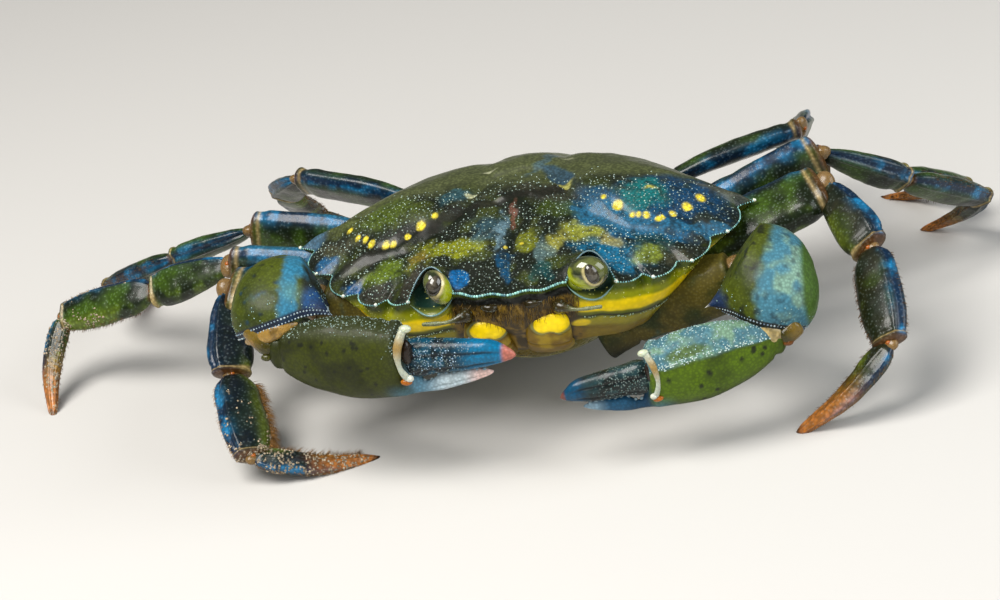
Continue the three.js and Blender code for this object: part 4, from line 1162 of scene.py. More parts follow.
FINGER_DROP = [(0.97, -0.02), (1.05, -0.01), (1.3, -0.01), (1.6, -0.01), (1.85, -0.01), (2.02, 0.03)]
PALM_FLAT, FINGER_FLAT = 0.66, 0.72
PALM_END, FINGER_START, FINGER_LENGTH = 1.8, 0.97, 1.05
ARM_HEIGHT, WRIST_HEIGHT = 7.4, 12
# Grooves along the finger, and the ribs between them: sines of the angle round it.
GROOVES, RIBS = (0.25, -0.55), ((0.5, 0.14), (-0.1, 0.22))


class Claw:
    """One claw's measures, and its axes: way towards the tip, up, across and outer."""

    def __init__(self, side):
        self.right = side == "right"
        self.sign = -1 if self.right else 1
        self.name = f"claw_{side}"
        for measure, value in CLAWS[side].items():
            setattr(self, measure, np.array(value, float))
        self.slope, self.facing = unit(self.slope), unit(self.facing)
        self.way = unit(self.tip - self.wrist)
        self.up = square_to(self.way, Z)
        self.across = np.cross(self.way, self.up)
        self.front = -np.sign(self.across[1])
        self.outer = self.front * self.across
        self.grains = Form()


def claw_blade(claw, place, sizes, drops, flat, lift, sides, power, cap):
    """Sections of the palm or a finger, at places of 0 at the wrist, 1 at the knuckle and 2 at
    the tip: super-ellipses whose size and drop below the axis follow their stations, closed as
    a quarter circle over cap at each end. Returns the grid, its places and its angles."""
    place = place[:, None]
    line = np.where(place < 1, mix(claw.wrist, claw.knuckle, place), mix(claw.knuckle, claw.tip, place - 1))
    drop = profile(place[:, 0], drops)[:, None]
    line = line + claw.up * claw.palm * (lift * (place - 1) - drop)
    far = distances(line)
    ends = rounded_ends(np.minimum(far, far[-1] - far), cap, 0.04)
    half = profile(place[:, 0], sizes) * claw.palm / 2 * ends
    angle, c, s = super_ellipse(sides, power)
    half = half[:, None, None]
    ring = claw.across * c[:, None] * half * flat + claw.up * s[:, None] * half
    shape = (len(place), sides)
    return line[:, None] + ring, np.broadcast_to(place, shape), np.broadcast_to(angle, shape)


def spots(points, centres, radius):
    """Soft discs of a radius about each of some places."""
    nearest = np.full(points.shape[:-1], np.inf)
    for centre in centres:
        nearest = np.minimum(nearest, np.linalg.norm(points - centre, axis=-1))
    return smooth(1.3 * radius, 0.6 * radius, nearest + 0.25 * radius * noise(points, 0.4, 53, 1))


def round_place(points, centre, far, close):
    """A soft ball about a place: 0 beyond far from it, 1 within close."""
    return smooth(far, close, np.linalg.norm(points - centre, axis=-1))


def palm_tint(points, place, angle, right):
    """Olive or green with dark dots below, granular grey-blue above, and a pale fixed finger."""
    height = np.sin(angle)
    cloud = noise(points, 3, 50)
    base = rgb(48, 54, 0) if right else rgb(74, 98, 0)
    tint = paint(base, base * 0.5, smooth(0, 0.9, cloud))
    tint = paint(tint, rgb(44, 52, 12), 0.8 * smooth(-0.5, -0.95, height))
    if right:
        upper = smooth(0.6, 0.95, height) + 0.7 * smooth(0.9, 0.98, place) * smooth(-0.1, 0.3, height)
        tint = paint(tint, rgb(40, 46, 18), 0.8 * upper)
        number, radius = 46, 0.26
        root, middle, tip = rgb(84, 128, 150), rgb(170, 186, 192), rgb(206, 176, 168)
    else:
        upper = smooth(0.3, 0.42, height + 0.04 * cloud)
        patch = blob(place, height, (0.72, 0.62, 0.16, 0.16, 0))
        tint = paint(tint, clouded(points, rgb(62, 104, 116), rgb(104, 136, 112), -0.3, 0.6, 2, 51), upper)
        tint = paint(tint, rgb(70, 88, 20), 0.8 * upper * smooth(0.2, 0.6, patch))
        number, radius = 34, 0.32
        root, middle, tip = rgb(18, 54, 80), rgb(26, 74, 104), rgb(120, 148, 164)
    body = (place > 0.12) & (place < 0.95) & (abs(height) < 0.85) & (upper < 0.1)
    dots = points.reshape(-1, 3)[random.choice(np.flatnonzero(body), number, replace=False)]
    finger = smooth(1.0, 1.12, place)
    pale = layered(root, (middle, smooth(1.1, 1.4, place)), (tip, smooth(1.5, 1.7, place)))
    tint = layered(
        tint,
        (rgb(14, 18, 6), 0.9 * spots(points, dots, radius) * (place < 1)),
        (pale, finger),
        (rgb(60, 110, 130), 0.6 * smooth(0.84, 1, place) * smooth(-0.3, -0.8, height) * (1 - finger)),
        (base * 0.45, 0.8 * smooth(0.16, 0.04, place)),
    )
    return np.concatenate([tint, (upper * (1 - finger))[..., None] * 0.5], -1)


def finger_tint(points, place, angle, right):
    """Blue-black with dark grooves along it, bright blue towards the end, and a pink tip."""
    if right:
        dark, lit, blue, pink = rgb(2, 22, 32), rgb(8, 68, 90), rgb(0, 102, 142), rgb(170, 100, 86)
        blue_part, pink_part = smooth(1.4, 1.75, place), smooth(1.88, 1.93, place)
    else:
        dark, lit, blue, pink = rgb(10, 18, 18), rgb(26, 52, 56), rgb(0, 66, 98), rgb(104, 60, 50)
        blue_part, pink_part = smooth(1.68, 1.86, place), smooth(1.95, 1.98, place)
    tint = paint(clouded(points, dark, lit, -0.3, 0.7, 1.3, 60), blue, blue_part * 0.92)
    for level in GROOVES:
        groove = bump(np.sin(angle), level, 0.1) * smooth(1.03, 1.1, place) * smooth(1.95, 1.75, place)
        tint = paint(tint, rgb(6, 10, 16), 0.85 * groove)
    tint = paint(tint, pink, pink_part)
    return np.concatenate([tint, 0.6 * smooth(1.7, 1.4, place)[..., None]], -1)


def pulled(points, middle, tooth):
    """Points drawn out to the tooth's tip, the more the nearer their way lies to the tooth's."""
    apart = np.arccos(np.clip(unit(points - middle) @ unit(tooth - middle), -1, 1))
    return mix(points, tooth, (np.clip(1 - apart / 0.5, 0, 1) ** 1.5)[..., None])


def rim_at(points, depth, level):
    """Where each column of a grid last passes a depth short of the cut: a closed curve."""
    row = len(depth) - 1 - np.argmax((depth <= level)[::-1], axis=0)
    row = np.minimum(row, len(depth) - 2)
    column = np.arange(depth.shape[1])
    before, after = depth[row, column], depth[row + 1, column]
    share = np.clip((level - before) / (after - before), 0, 1)[:, None]
    return mix(points[row, column], points[row + 1, column], share)


def beaded(form, curve, centre, spacing, radius, tint, shade):
    """Beads at even spacing along a closed curve, facing away from a centre."""
    beads = spaced(np.vstack([curve, curve[:1]]), spacing)
    colours = drawn(tint, shade, len(beads), 0.8)
    form.domes(beads, beads - centre, radius * random.uniform(0.75, 1.15, len(beads)), colours, height=0.8)


def arm_tint(points):
    """Olive-tan, black-green below, with clouds of teal."""
    tint = layered(
        clouded(points, rgb(88, 78, 22), rgb(38, 48, 8), -0.3, 0.7, 2.6, 47),
        (rgb(14, 18, 6), smooth(-11, -14.5, points[..., 2])),
        (rgb(8, 74, 70), 0.8 * smooth(0.25, 0.6, noise(points, 3.4, 48))),
    )
    return np.concatenate([tint, 0.2 + 0 * tint[..., :1]], -1)


def build_arm(claw):
    """The arm's upper piece, with a seam near the body and a rim at the elbow."""
    points, *_ = limb([claw.coxa, claw.elbow], Z, ARM_STATIONS, ARM_HEIGHT, 0.8, 100, 80, 0.72, 0.8,
                      rings=[(0.24, 0.012, -0.35), (0.965, 0.012, 0.2)])
    plate(f"{claw.name}_merus", points, arm_tint(points), CLAW, "claw_shell")


def carpus_tint(points, claw, depth):
    """Olive with dark spots inside, and a pale turquoise face outside on the left claw; on the
    right one a light blue stripe down the middle, widening into blue along the cut. Each has a
    painted highlight: a pale green-grey spot high on the right one, a whitish spot on the left
    one's face. The border along the cut is dark, and the cut itself tan."""
    x, y, z = np.moveaxis(points, -1, 0)
    cloud, fine = noise(points, 3, 80), noise(points, 1, 81, 2)
    tint = paint(rgb(64, 74, 2), rgb(44, 54, 2), smooth(-0.1, 0.8, cloud))
    tint = paint(tint, rgb(12, 16, 6), 0.8 * smooth(0.35, 0.6, fine))
    if claw.right:
        stripe = bump(x + 27.5 - 0.25 * np.clip(z - 3, -3, 0), 0, 1.3) + 0.3 * fine + 0.2 * cloud
        tint = layered(
            tint,
            (rgb(14, 22, 8), smooth(-26.6, -25.6, x)),
            (rgb(40, 116, 150), 0.8 * smooth(0.2, 0.8, stripe) * smooth(-8, -12, y)),
            # Pale green-grey spot high on the right carpus: a painted highlight.
            (rgb(96, 134, 110), 0.6 * round_place(points, [-27.8, -20, 2.6], 2.4, 0.8)),
            (rgb(10, 64, 112), round_place(points, [-25.2, -19.7, 0.9], 2.8, 1.4)),
        )
    else:
        face = layered(
            clouded(points, rgb(60, 112, 130), rgb(110, 144, 128), -0.3, 0.5, 2.2, 82),
            # Whitish spot on the left carpus's outer face: a painted highlight.
            (rgb(168, 186, 184), 0.8 * round_place(points, [34.2, -20.5, -3.8], 2.8, 0.6)),
            (rgb(18, 34, 42), 0.5 * smooth(0.3, 0.6, fine)),
        )
        outside = x - 31.4 - 0.35 * (z + 1) + 0.9 * cloud
        tint = layered(
            tint,
            (face, smooth(-0.4, 0.9, outside) * smooth(-9, -16, y)),
            (rgb(8, 78, 134), round_place(points, [29.9, -20.4, -5.9], 2.6, 1.6)),
            (rgb(60, 90, 24), smooth(36.2, 37, x)),
        )
    border = rgb(14, 28, 50) if claw.right else rgb(22, 20, 18)
    tint = layered(
        tint,
        (rgb(18, 40, 74), round_place(points, claw.tooth, 4, 2.4)),
        (rgb(222, 220, 204), round_place(points, claw.tooth, 0.9, 0.4)),
        (border, 0.95 * smooth(-1.25, -0.95, depth) * smooth(0.5, 0.1, depth)),
        (rgb(122, 98, 44), smooth(0.15, 0.5, depth)),
    )
    return np.concatenate([tint, (0.15 * smooth(0.2, 0, depth))[..., None]], -1)


def build_carpus(claw):
    """The wrist block: a swollen limb piece, cut off flat towards the palm, drawn out to a
    tooth, with a dark beaded border along the cut. Returns the curve of the outer beads."""
    middle = mix(claw.elbow, claw.wrist, 0.45) + [0.8 * claw.sign, 0, claw.lift]
    points, _, _, outward = limb([claw.elbow, middle, claw.wrist], Z, CLAW_CARPUS_STATIONS, WRIST_HEIGHT, 1,
                                 150, 140, 0.86, 1.6)
    over = np.maximum((points - middle) @ claw.slope - claw.reach, 0)
    points = points - claw.slope * (0.85 * over)[..., None]
    depth = (points - claw.edge) @ claw.facing
    rims = [pulled(rim_at(points, depth, level), middle, claw.tooth) for level in (-0.15, -0.75)]
    inside = smooth(0.1, 1.2, depth)[..., None]
    hub = middle + claw.facing * ((claw.edge - middle) @ claw.facing)
    flat = points - claw.facing * np.maximum(depth, 0)[..., None]
    points = mix(flat, mix(flat, hub, 0.12) - claw.facing * 0.7, inside)
    points = pulled(points, middle, claw.tooth)
    plate(f"{claw.name}_carpus", points, carpus_tint(points, claw, depth), CLAW, "claw_shell")
    for curve in rims:
        beaded(claw.grains, curve, middle, 0.45, 0.14, rgb(158, 174, 178), rgb(52, 78, 104))
    cover = smooth(4.5, 1.2, -depth) * (depth < -1) * 0.6
    sow(claw.grains, points, outward, cover, 0.62, (0.06, 0.1), rgb(128, 156, 150))
    return rims[0]


def build_palm(claw):
    """The palm with its fixed finger: a ledge along it, a groove round its wrist end and another
    along the finger, and granules above."""
    points, place, angle = claw_blade(claw, PALM_END * eased(230, 0.4), PALM_SIZE, PALM_DROP, PALM_FLAT,
                                      0, 130, 0.86, 1.2)
    outward = normals_of(points)
    height = np.sin(angle)
    palm_part = smooth(0.05, 0.2, place) * smooth(1.05, 0.95, place)
    ledge, rise = (0.85, 0.04) if claw.right else (0.4, 0.2)
    shift = 0.08 * noise(points, 3, 70) + rise * palm_part * bump(height, ledge, 0.1)
    shift -= 0.3 * bump(place, 0.1, 0.025)
    shift -= 0.15 * smooth(1.1, 1.3, place) * smooth(1.8, 1.6, place) * bump(turned(angle, -0.3), 0, 0.2)
    points = points + outward * shift[..., None]
    plate(f"{claw.name}_palm", points, palm_tint(points, place, angle, claw.right), CLAW, "claw_shell")
    if claw.right:
        cover = np.maximum(smooth(0.7, 0.95, height), smooth(0.88, 0.97, place) * smooth(0, 0.4, height))
        pale = rgb(120, 138, 128)
    else:
        cover, pale = smooth(0.34, 0.42, height), rgb(150, 176, 176)
    sow(claw.grains, points, outward, palm_part * cover, 0.5, (0.07, 0.13), pale * 0.5, pale * 1.2)
    if not claw.right:
        row = palm_part * bump(height, 0.42, 0.06) * (np.cos(angle) * claw.front > 0)
        sow(claw.grains, points, outward, row, 0.3, (0.08, 0.13), rgb(168, 186, 180))


def build_finger(claw):
    """The moving finger, with grooves along it, granules on its ribs, and the blunt biting teeth
    along the fixed finger that faces it."""
    place = FINGER_START + FINGER_LENGTH * np.linspace(0, 1, 150)
    points, place, angle = claw_blade(claw, place, FINGER_SIZE, FINGER_DROP, FINGER_FLAT, claw.open,
                                      90, 0.85, 0.8)
    outward = normals_of(points)
    height = np.sin(angle)
    shift = 0.05 * noise(points, 1.4, 71)
    for level in GROOVES:
        shift -= 0.2 * bump(height, level, 0.09) * smooth(1.05, 1.2, place) * smooth(1.95, 1.7, place)
    points = points + outward * shift[..., None]
    plate(f"{claw.name}_finger", points, finger_tint(points, place, angle, claw.right), FINGER, "claw_finger")
    ribs = sum(bump(height, level, width) for level, width in RIBS)
    pale = rgb(150, 176, 196) if claw.right else rgb(84, 112, 108)
    sow(claw.grains, points, outward, smooth(1.75, 1.35, place) * np.clip(ribs + 0.25, 0, 1), 0.42,
        (0.06, 0.11), pale * 0.4, pale * 1.1)

    share = np.linspace(1.16, 1.72, 9)
    bite = mix(claw.knuckle, claw.tip, share[:, None] - 1)
    bite = bite - claw.up * (profile(share, PALM_DROP) - 0.5 * profile(share, PALM_SIZE))[:, None] * claw.palm
    upwards, radii = np.tile(claw.up, (len(bite), 1)), 0.3 - 0.1 * abs(share - 1.4)
    claw.grains.domes(bite, upwards, radii, rgb(128, 150, 160), height=0.8, sides=12)


# The hinge in parts of an 11 mm palm, as (along, up, outwards) of the knuckle: the membrane's
# curve; then the place, radii and colour of two knobs, the orange condyle, and a dark ball that
# paints the shade in the hollow behind.
HINGE_PALM = 11
HINGE_CURVE = [(-0.1, 3.9, 1.8), (-0.75, 1.8, 3.1), (-0.65, -0.9, 3.3), (0.1, -2.6, 2.9)]
HINGE_STATIONS = [(0, 1.1), (0.3, 1.2), (0.7, 0.8), (1, 1)]
HINGE_BALLS = (
    ((0.15, 3.9, 1.8), (0.8, 0.5, 0.6), rgb(176, 184, 160)),
    ((0.3, -2.4, 3.0), (0.55, 0.45, 0.45), rgb(186, 190, 178)),
    ((-0.2, -2.95, 2.9), (0.75, 0.42, 0.5), rgb(150, 84, 10)),
    # A dark ball standing in the hollow behind the hinge: painted shade.
    ((-0.1, 0.6, 1.7), (0.75, 1.7, 1.0), rgb(26, 14, 4)),
)


def build_knuckle(form, claw):
    """The finger's hinge on the outer face: a pale arched membrane between two knobs, an orange
    condyle below, and behind it a dark ball that paints the shade in the hollow."""
    axes, scale = np.stack([claw.way, claw.up, claw.outer]), claw.palm / HINGE_PALM
    knuckle = claw.knuckle + claw.hinge @ axes
    path = np.array(HINGE_CURVE) * scale @ axes + knuckle
    points, share, _, _ = limb(path, claw.outer, HINGE_STATIONS, 0.85 * scale ** 2, 1.1, 60, 24, 1, 0.3)
    form.grid(points, paint(rgb(164, 172, 156), rgb(140, 116, 66), bump(share, 0.35, 0.2)))
    for place, radii, colour in HINGE_BALLS:
        ball(form, knuckle + np.array(place) * scale @ axes, np.array(radii) * scale, colour, axes.T, 16, 22)


def build_wrist_skin(form, claw, rim):
    """The tan skin between wrist and palm, and the pale crescent that shows under the border on
    the outer side: a thin limb along the part of the rim that looks outwards."""
    hub = claw.wrist - claw.facing * ((claw.wrist - claw.edge) @ claw.facing + 0.9) - claw.outer * 0.5
    path = [hub - claw.way * 1.2, mix(hub, claw.wrist, 0.6) - claw.way * 0.3, claw.wrist + claw.way * 1.2]
    points, share, _, _ = limb(path, claw.outer, [(0, 1), (0.5, 0.95), (1, 0.8)], 3.5, 0.85, 50, 50, 0.9, 0.8)
    tan = paint(rgb(104, 84, 28), rgb(50, 46, 6), smooth(0.3, 0.8, share))
    form.grid(points, paint(tan, rgb(130, 98, 40), 0.7 * smooth(0.2, 0.7, noise(points, 1.5, 49))))

    spoke = rim - rim.mean(0)
    bearing = np.arctan2(spoke @ np.cross(claw.facing, claw.outer), spoke @ claw.outer)
    order = np.argsort(bearing)
    reach, cream = (0.7, rgb(140, 110, 52)) if claw.right else (0.95, rgb(176, 156, 104))
    arc = np.linspace(-reach, reach, 9)
    arc = np.stack([np.interp(arc, bearing[order], rim[order, k]) for k in range(3)], -1)
    arc = mix(arc, rim.mean(0), 0.07) + claw.facing * 0.6
    stations = [(0, 0.15), (0.25, 0.8), (0.55, 1), (0.8, 0.7), (1, 0.15)]
    points, *_ = limb(arc, claw.facing, stations, 2.1, 0.6, 70, 30, 0.9, 0.3)
    form.grid(points, clouded(points, cream, cream * 0.5, -0.2, 0.6, 0.9, 46))


def build_claw(side):
    """A claw from the body out, its granules, and the skin and knobs of its joints."""
    claw = Claw(side)
    build_arm(claw)
    rim = build_carpus(claw)
    build_palm(claw)
    build_finger(claw)
    claw.grains.piece(f"{claw.name}_granules", PEARL, "claw_shell")
    form = Form()
    build_knuckle(form, claw)
    build_wrist_skin(form, claw, rim)
    axes = np.column_stack([claw.way, claw.across, claw.up])
    ball(form, claw.wrist + claw.outer * 0.95 - claw.up * 0.6, (0.7, 0.45, 0.45),
         rgb(54, 54, 6) if claw.right else rgb(96, 54, 8), axes, 14, 20)
    ball(form, claw.elbow, (2.2, 2.2, 2.6), MEMBRANE)
    form.piece(f"{claw.name}_joints", SKIN, "claw_shell")


# ------------------------------------------------------------------ face
# The ball's middle, radii and tilt; the way the cornea looks, its lean and its radii.
EYES = {
    "left": dict(ball=(10.1, -19, 1.2), radii=(2.6, 1.8, 2.15), tilt=0,
                 gaze=(0.5, -0.83, 0.25), lean=-14, cornea=(1.06, 1.46, 1.1)),
    "right": dict(ball=(-9.0, -19, 1.3), radii=(1.62, 1.8, 2.4), tilt=-22,
                  gaze=(-0.2, -0.68, 0.7), lean=-4, cornea=(1.14, 1.5, 1.1)),
}
CORNEA_FORWARD = 1.08
STALK = ((7.4, -17.3, -1.1), (8.4, -17.8, -0.2), (9.4, -18.2, 0.8))
KIDNEYS = {"left": (4.6, -4.9), "right": (-3.5, -4.9)}
# Paths and stations of the left maxilliped, antennule and antenna.
MAXILLIPED = ((3.4, -12.6, -10.4), (3.6, -16.6, -9.3), (3.9, -18.9, -7.2), (4, -19.3, -4.9),
              (3.9, -18.9, -3.2))
MAXILLIPED_STATIONS = [(0, 0.62), (0.15, 0.9), (0.55, 1), (0.8, 0.96), (0.92, 0.8), (1, 0.5)]
ANTENNULE = ((1.2, -19.2, -1.9), (2.6, -20.4, -1.7), (4, -20.1, -1.6))
ANTENNULE_STATIONS = [(0, 0.6), (0.3, 1), (0.7, 0.9), (1, 0.5)]
ANTENNA = ((5.7, -18.6, -3), (6.1, -20.2, -2.5), (8, -21.2, -2.6), (11.5, -21, -2.7))
ANTENNA_STATIONS = [(0, 0.8), (0.2, 1), (0.35, 0.6), (0.45, 0.36), (0.8, 0.32), (1, 0.28)]
ANTENNA_RINGS = [(0.45 + 0.03 * k, 0.008, -0.06) for k in range(18)]


MOUTH_BROWN = rgb(120, 74, 22)


def without_grain(tint):
    """A tint with 0 in its alpha: no granules."""
    return np.concatenate([tint, 0 * tint[..., :1]], -1)


def ball_tint(points, way_out, seen, sign, cornea):
    """The eyeball: cream round the cornea, yellow below and inside, and olive elsewhere. seen
    holds the points in the cornea's axes."""
    low_inside = -0.75 * sign * way_out[..., 0] - 0.62 * way_out[..., 2] + 0.12 * noise(points, 0.9, 88)
    low = smooth(0.72, 0.92, -way_out[..., 2] + 0.15 * low_inside) * smooth(0, 0.4, low_inside)
    rim = bump(np.hypot(seen[..., 0] / cornea[0], seen[..., 1] / cornea[1]), 1.06, 0.13)
    return without_grain(layered(
        clouded(points, rgb(38, 44, 26), rgb(86, 92, 48), -0.4, 0.6, 1.2, 89),
        (rgb(150, 160, 14), smooth(0.1, 0.5, low_inside)),
        (rgb(226, 226, 178), low),
        (rgb(204, 190, 132), rim * (seen[..., 2] > 0) * smooth(-0.45, 0.1, low_inside)),
    ))


def build_eye(side, sign, flip):
    """A stalk that swells into a glassy ball, and the oval cornea set into it."""
    eye = {measure: np.array(value, float) for measure, value in EYES[side].items()}
    centre, radii, cornea, gaze = eye["ball"], eye["radii"], eye["cornea"], unit(eye["gaze"])
    right = unit(np.cross(gaze, Z))
    above, lean, tilt = np.cross(right, gaze), np.radians(eye["lean"]), np.radians(eye["tilt"])
    turn = np.column_stack([right * np.cos(lean) + above * np.sin(lean),
                            above * np.cos(lean) - right * np.sin(lean), gaze])
    rolled = np.array([[np.cos(tilt), 0, np.sin(tilt)], [0, 1, 0], [-np.sin(tilt), 0, np.cos(tilt)]])
    points, *_ = limb(np.array(STALK) * flip, Z, [(0, 0.8), (0.5, 0.9), (1, 0.8)], 3.2, 1, 60, 56, 1, 1.5)
    form = Form()
    form.grid(points, rgb(110, 122, 26))
    sphere = sphere_grid(70, 90)
    points = centre + (sphere * radii) @ rolled.T
    way_out = unit((sphere / radii) @ rolled.T)
    form.grid(points, ball_tint(points, way_out, (points - centre) @ turn, sign, cornea))
    form.piece(f"eyestalk_{side}_shell", EYE, "eye", [f"eyestalk_{side}"])

    points = centre + gaze * CORNEA_FORWARD + (sphere * cornea) @ turn.T
    off_axis = np.hypot(sphere[..., 0], sphere[..., 1])
    tint = layered(
        rgb(84, 78, 66),
        (rgb(44, 40, 34), smooth(0.2, 0.95, off_axis)),
        (rgb(30, 26, 20), 0.6 * smooth(0.1, 0.6, noise(points, 0.5, 87))),
    )
    plate(f"eye_{side}", points, tint, EYE, "eye")


def build_maxilliped(side, flip):
    """The outer mouth plate with a seam across it, its raised yellow kidney, and the bristles
    at its end. The kidney is an ellipse with a dent below."""
    points, share, angle, outward = limb(np.array(MAXILLIPED) * flip, X, MAXILLIPED_STATIONS, 5.8, 0.36,
                                         120, 110, 0.85, 0.9, rings=[(0.6, 0.012, -0.35)])
    x, z = points[..., 0], points[..., 2]
    middle_x, middle_z = KIDNEYS[side]
    bean = np.hypot((x - middle_x) / 2.2, (z - middle_z) / 1.25)
    bean = bean + 0.55 * blob(x, z, (middle_x - 0.3, middle_z - 1.5, 0.7, 0.8, 0))
    bean = bean + 0.06 * noise(points, 1.2, 91)
    points = points + outward * (0.14 * smooth(1.15, 0.8, bean))[..., None]
    tint = layered(
        clouded(points, rgb(104, 80, 8), rgb(142, 118, 20), -0.3, 0.6, 1.6, 90),
        (rgb(104, 122, 84), 0.8 * bump(bean, 1.16, 0.08)),
        (rgb(54, 44, 10), 0.7 * bump(bean, 1.32, 0.06)),
        (YELLOW, smooth(1.1, 1.0, bean)),
    )
    plate(f"maxilliped_{side}", points, without_grain(tint), FOLD, "underside")
    form = Form()
    for centre in np.linspace(0.15, 1.0, 6) * np.pi:
        fringe(form, points, share, angle, outward, centre, (0.93, 0.995), 40, (0.6, 1.5), MOUTH_BROWN, 0)
    form.piece(f"mouth_fringe_{side}", BRISTLE, "underside")


def build_face():
    """Eyes, outer mouth plates, antennules and antennae of both sides."""
    for side, sign in (("left", 1), ("right", -1)):
        flip = np.array([sign, 1, 1])
        build_eye(side, sign, flip)
        build_maxilliped(side, flip)
        points, *_ = limb(np.array(ANTENNULE) * flip, Z, ANTENNULE_STATIONS, 1.1, 0.9, 50, 32, 1, 0.4)
        plate(f"antennule_{side}", points, rgb(40, 32, 12), BELLY, "underside")
        points, share, _, _ = limb(np.array(ANTENNA) * flip, Z, ANTENNA_STATIONS, 1.9, 1, 130, 24, 1, 0.3,
                                   rings=ANTENNA_RINGS)
        # Paler grey-olive further out: partly the flagellum's own colour, partly painted sheen on the wet
        # thread.
        tint = paint(rgb(46, 38, 16), rgb(112, 118, 84), smooth(0.35, 0.6, share))
        plate(f"antenna_{side}", points, tint, BELLY, "underside")


# ------------------------------------------------------------------ under side
# Rings of the thorax from its top down: half width, front, rear and level. Then the places of
# its seams, and the abdomen's path from its root forward.
THORAX = ((13.2, -11, 20, -10.3), (13.4, -9.8, 20.3, -12.2), (12, -8, 18.6, -14.8), (8.6, -5.5, 15.6, -16.6),
          (5, -3, 12, -17.1))
THORAX_SEAMS = (-6, -1, 4, 9, 14)
ABDOMEN = [(0, 23, -5), (0, 22.6, -10.8), (0, 17.5, -16.2), (0, 9, -18), (0, -2.5, -17.6)]
ABDOMEN_STATIONS = [(0, 0.9), (0.2, 1), (0.45, 0.86), (0.7, 0.56), (0.88, 0.4), (1, 0.16)]
ABDOMEN_RINGS = [(share, 0.006, -0.4) for share in (0.16, 0.28, 0.4, 0.62, 0.76, 0.87)]


def build_underside():
    """The thorax: ellipses whose sizes follow the rings of THORAX, with shallow V-shaped seams
    pressed into it. The folded abdomen: a flat limb with grooves between its segments."""
    v = np.linspace(0, 1, 90)
    angle = np.linspace(0, 2 * np.pi, 220, endpoint=False)
    depth = np.linspace(0, 1, len(THORAX))
    half, front, rear, level = (profile(v, list(zip(depth, row)))[:, None] for row in np.array(THORAX).T)
    y = (front + rear) / 2 + (rear - front) / 2 * np.sin(angle)
    points = np.stack([half * np.cos(angle), y, level + 0 * angle], -1)
    bent = y + 0.25 * abs(points[..., 0])
    seams = sum(bump(bent, seam, 0.35) for seam in THORAX_SEAMS)
    points[..., 2] += 0.5 * seams * smooth(0.2, 0.5, v)[:, None]
    tint = layered(
        clouded(points, rgb(150, 150, 92), rgb(186, 182, 130), -0.4, 0.5, 3, 95),
        (rgb(104, 88, 14), smooth(-4, -8, y)),
        (rgb(90, 92, 50), 0.7 * np.clip(seams, 0, 1)),
    )
    plate("thorax", points, tint, BELLY, "underside")
    points, *_ = limb(ABDOMEN, X, ABDOMEN_STATIONS, 17, 0.11, 200, 80, 0.7, 0.8, rings=ABDOMEN_RINGS)
    tint = clouded(points, rgb(140, 142, 80), rgb(180, 176, 120), -0.4, 0.5, 2.5, 96)
    plate("abdomen", points, tint, BELLY, "underside")


# ------------------------------------------------------------------ stage
VIEW_DISTANCE, VIEW_TURN, VIEW_RISE, VIEW_ROLL = 450, 9.8, 24, -10
PIXELS_PER_MM, AIM_PIXEL, PICTURE, SENSOR = 7.685, (524.8, 224.9), (1000, 600), 36
FLOOR_REACH, FLOOR_COLOUR, FLOOR_ROUGHNESS = 3.0, (0.5, 0.49, 0.47, 1), 0.7
WORLD_COLOUR, WORLD_STRENGTH = (0.94, 0.97, 1.0, 1), 0.12
# Name, place in millimetres, size in metres, watts, colour, and whether it shows in reflections.
LIGHTS = (
    ("key", (-180, -170, 420), 0.3, 4.2, (1, 0.97, 0.93), True),
    ("side", (420, -60, 260), 0.35, 1.8, (0.95, 0.98, 1), True),
    ("front", (60, -460, 150), 0.4, 1.4, (1, 1, 1), False),
)


def placed(name, data, right, up, back, at):
    """An object of the scene at a place of the crab's frame, turned to right, up and back."""
    made = bpy.data.objects.new(name, data)
    bpy.context.scene.collection.objects.link(made)
    place = Matrix(np.column_stack([right, up, back])).to_4x4()
    place.translation = ORIGIN + at * MM
    made.matrix_world = place
    return made


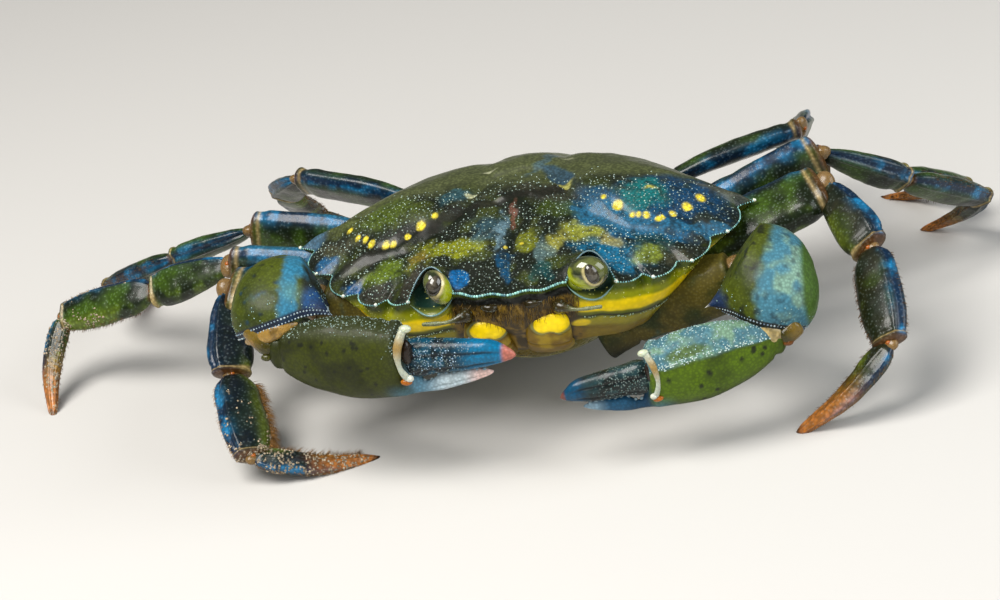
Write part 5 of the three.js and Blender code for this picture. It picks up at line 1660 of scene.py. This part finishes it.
def build_camera():
    """A camera that looks at the crab from in front and above, rolled a little, and aimed so
    that the middle of the shell's edge plane falls on AIM_PIXEL."""
    turn, rise, roll = np.radians([VIEW_TURN, VIEW_RISE, VIEW_ROLL])
    back = np.array([np.sin(turn) * np.cos(rise), -np.cos(turn) * np.cos(rise), np.sin(rise)])
    level = np.array([np.cos(turn), np.sin(turn), 0])
    above = np.cross(back, level)
    right = np.cos(roll) * level + np.sin(roll) * above
    up = np.cos(roll) * above - np.sin(roll) * level
    focal = PIXELS_PER_MM * VIEW_DISTANCE
    away_x, away_y = PICTURE[0] / 2 - AIM_PIXEL[0], PICTURE[1] / 2 - AIM_PIXEL[1]
    aim = unit(right * away_x / focal - up * away_y / focal - back)
    right = unit(right - aim * (right @ aim))
    data = bpy.data.cameras.new("camera")
    data.sensor_width = SENSOR
    data.lens = SENSOR * focal / PICTURE[0]
    data.clip_start, data.clip_end = 0.01, 10
    bpy.context.scene.camera = placed("camera", data, right, np.cross(right, aim), -aim, back * VIEW_DISTANCE)


def build_light(name, at, size, power, colour, mirrored):
    """A square soft light that faces the crab, and may be left out of reflections."""
    data = bpy.data.lights.new(name, "AREA")
    data.shape, data.size, data.energy, data.color = "SQUARE", size, power, colour
    at = np.array(at, float)
    aim = unit(-at)
    right = unit(np.cross(aim, Z))
    placed(name, data, right, np.cross(right, aim), -aim, at).visible_glossy = mirrored


def build_stage():
    """A pale floor, a dim studio world and three soft lights."""
    scene = bpy.context.scene
    floor_data = bpy.data.meshes.new("floor")
    level = ORIGIN[2] + FLOOR_Z * MM
    corners = [(FLOOR_REACH * x, FLOOR_REACH * y, level) for x, y in ((-1, -1), (1, -1), (1, 1), (-1, 1))]
    floor_data.from_pydata(corners, [], [(0, 1, 2, 3)])
    floor = bpy.data.objects.new("floor", floor_data)
    scene.collection.objects.link(floor)
    material = bpy.data.materials.new("floor")
    material.use_nodes = True
    surface = material.node_tree.nodes["Principled BSDF"]
    surface.inputs["Base Color"].default_value = FLOOR_COLOUR
    surface.inputs["Roughness"].default_value = FLOOR_ROUGHNESS
    floor_data.materials.append(material)
    scene.world = bpy.data.worlds.new("studio")
    scene.world.use_nodes = True
    background = scene.world.node_tree.nodes["Background"]
    background.inputs["Color"].default_value = WORLD_COLOUR
    background.inputs["Strength"].default_value = WORLD_STRENGTH
    scene.view_settings.view_transform = "Standard"
    for light in LIGHTS:
        build_light(*light)


# ------------------------------------------------------------------ the whole
build_shell()
for pose in POSES:
    build_leg(*pose)
for side in CLAWS:
    build_claw(side)
build_face()
build_underside()
build_stage()
build_camera()
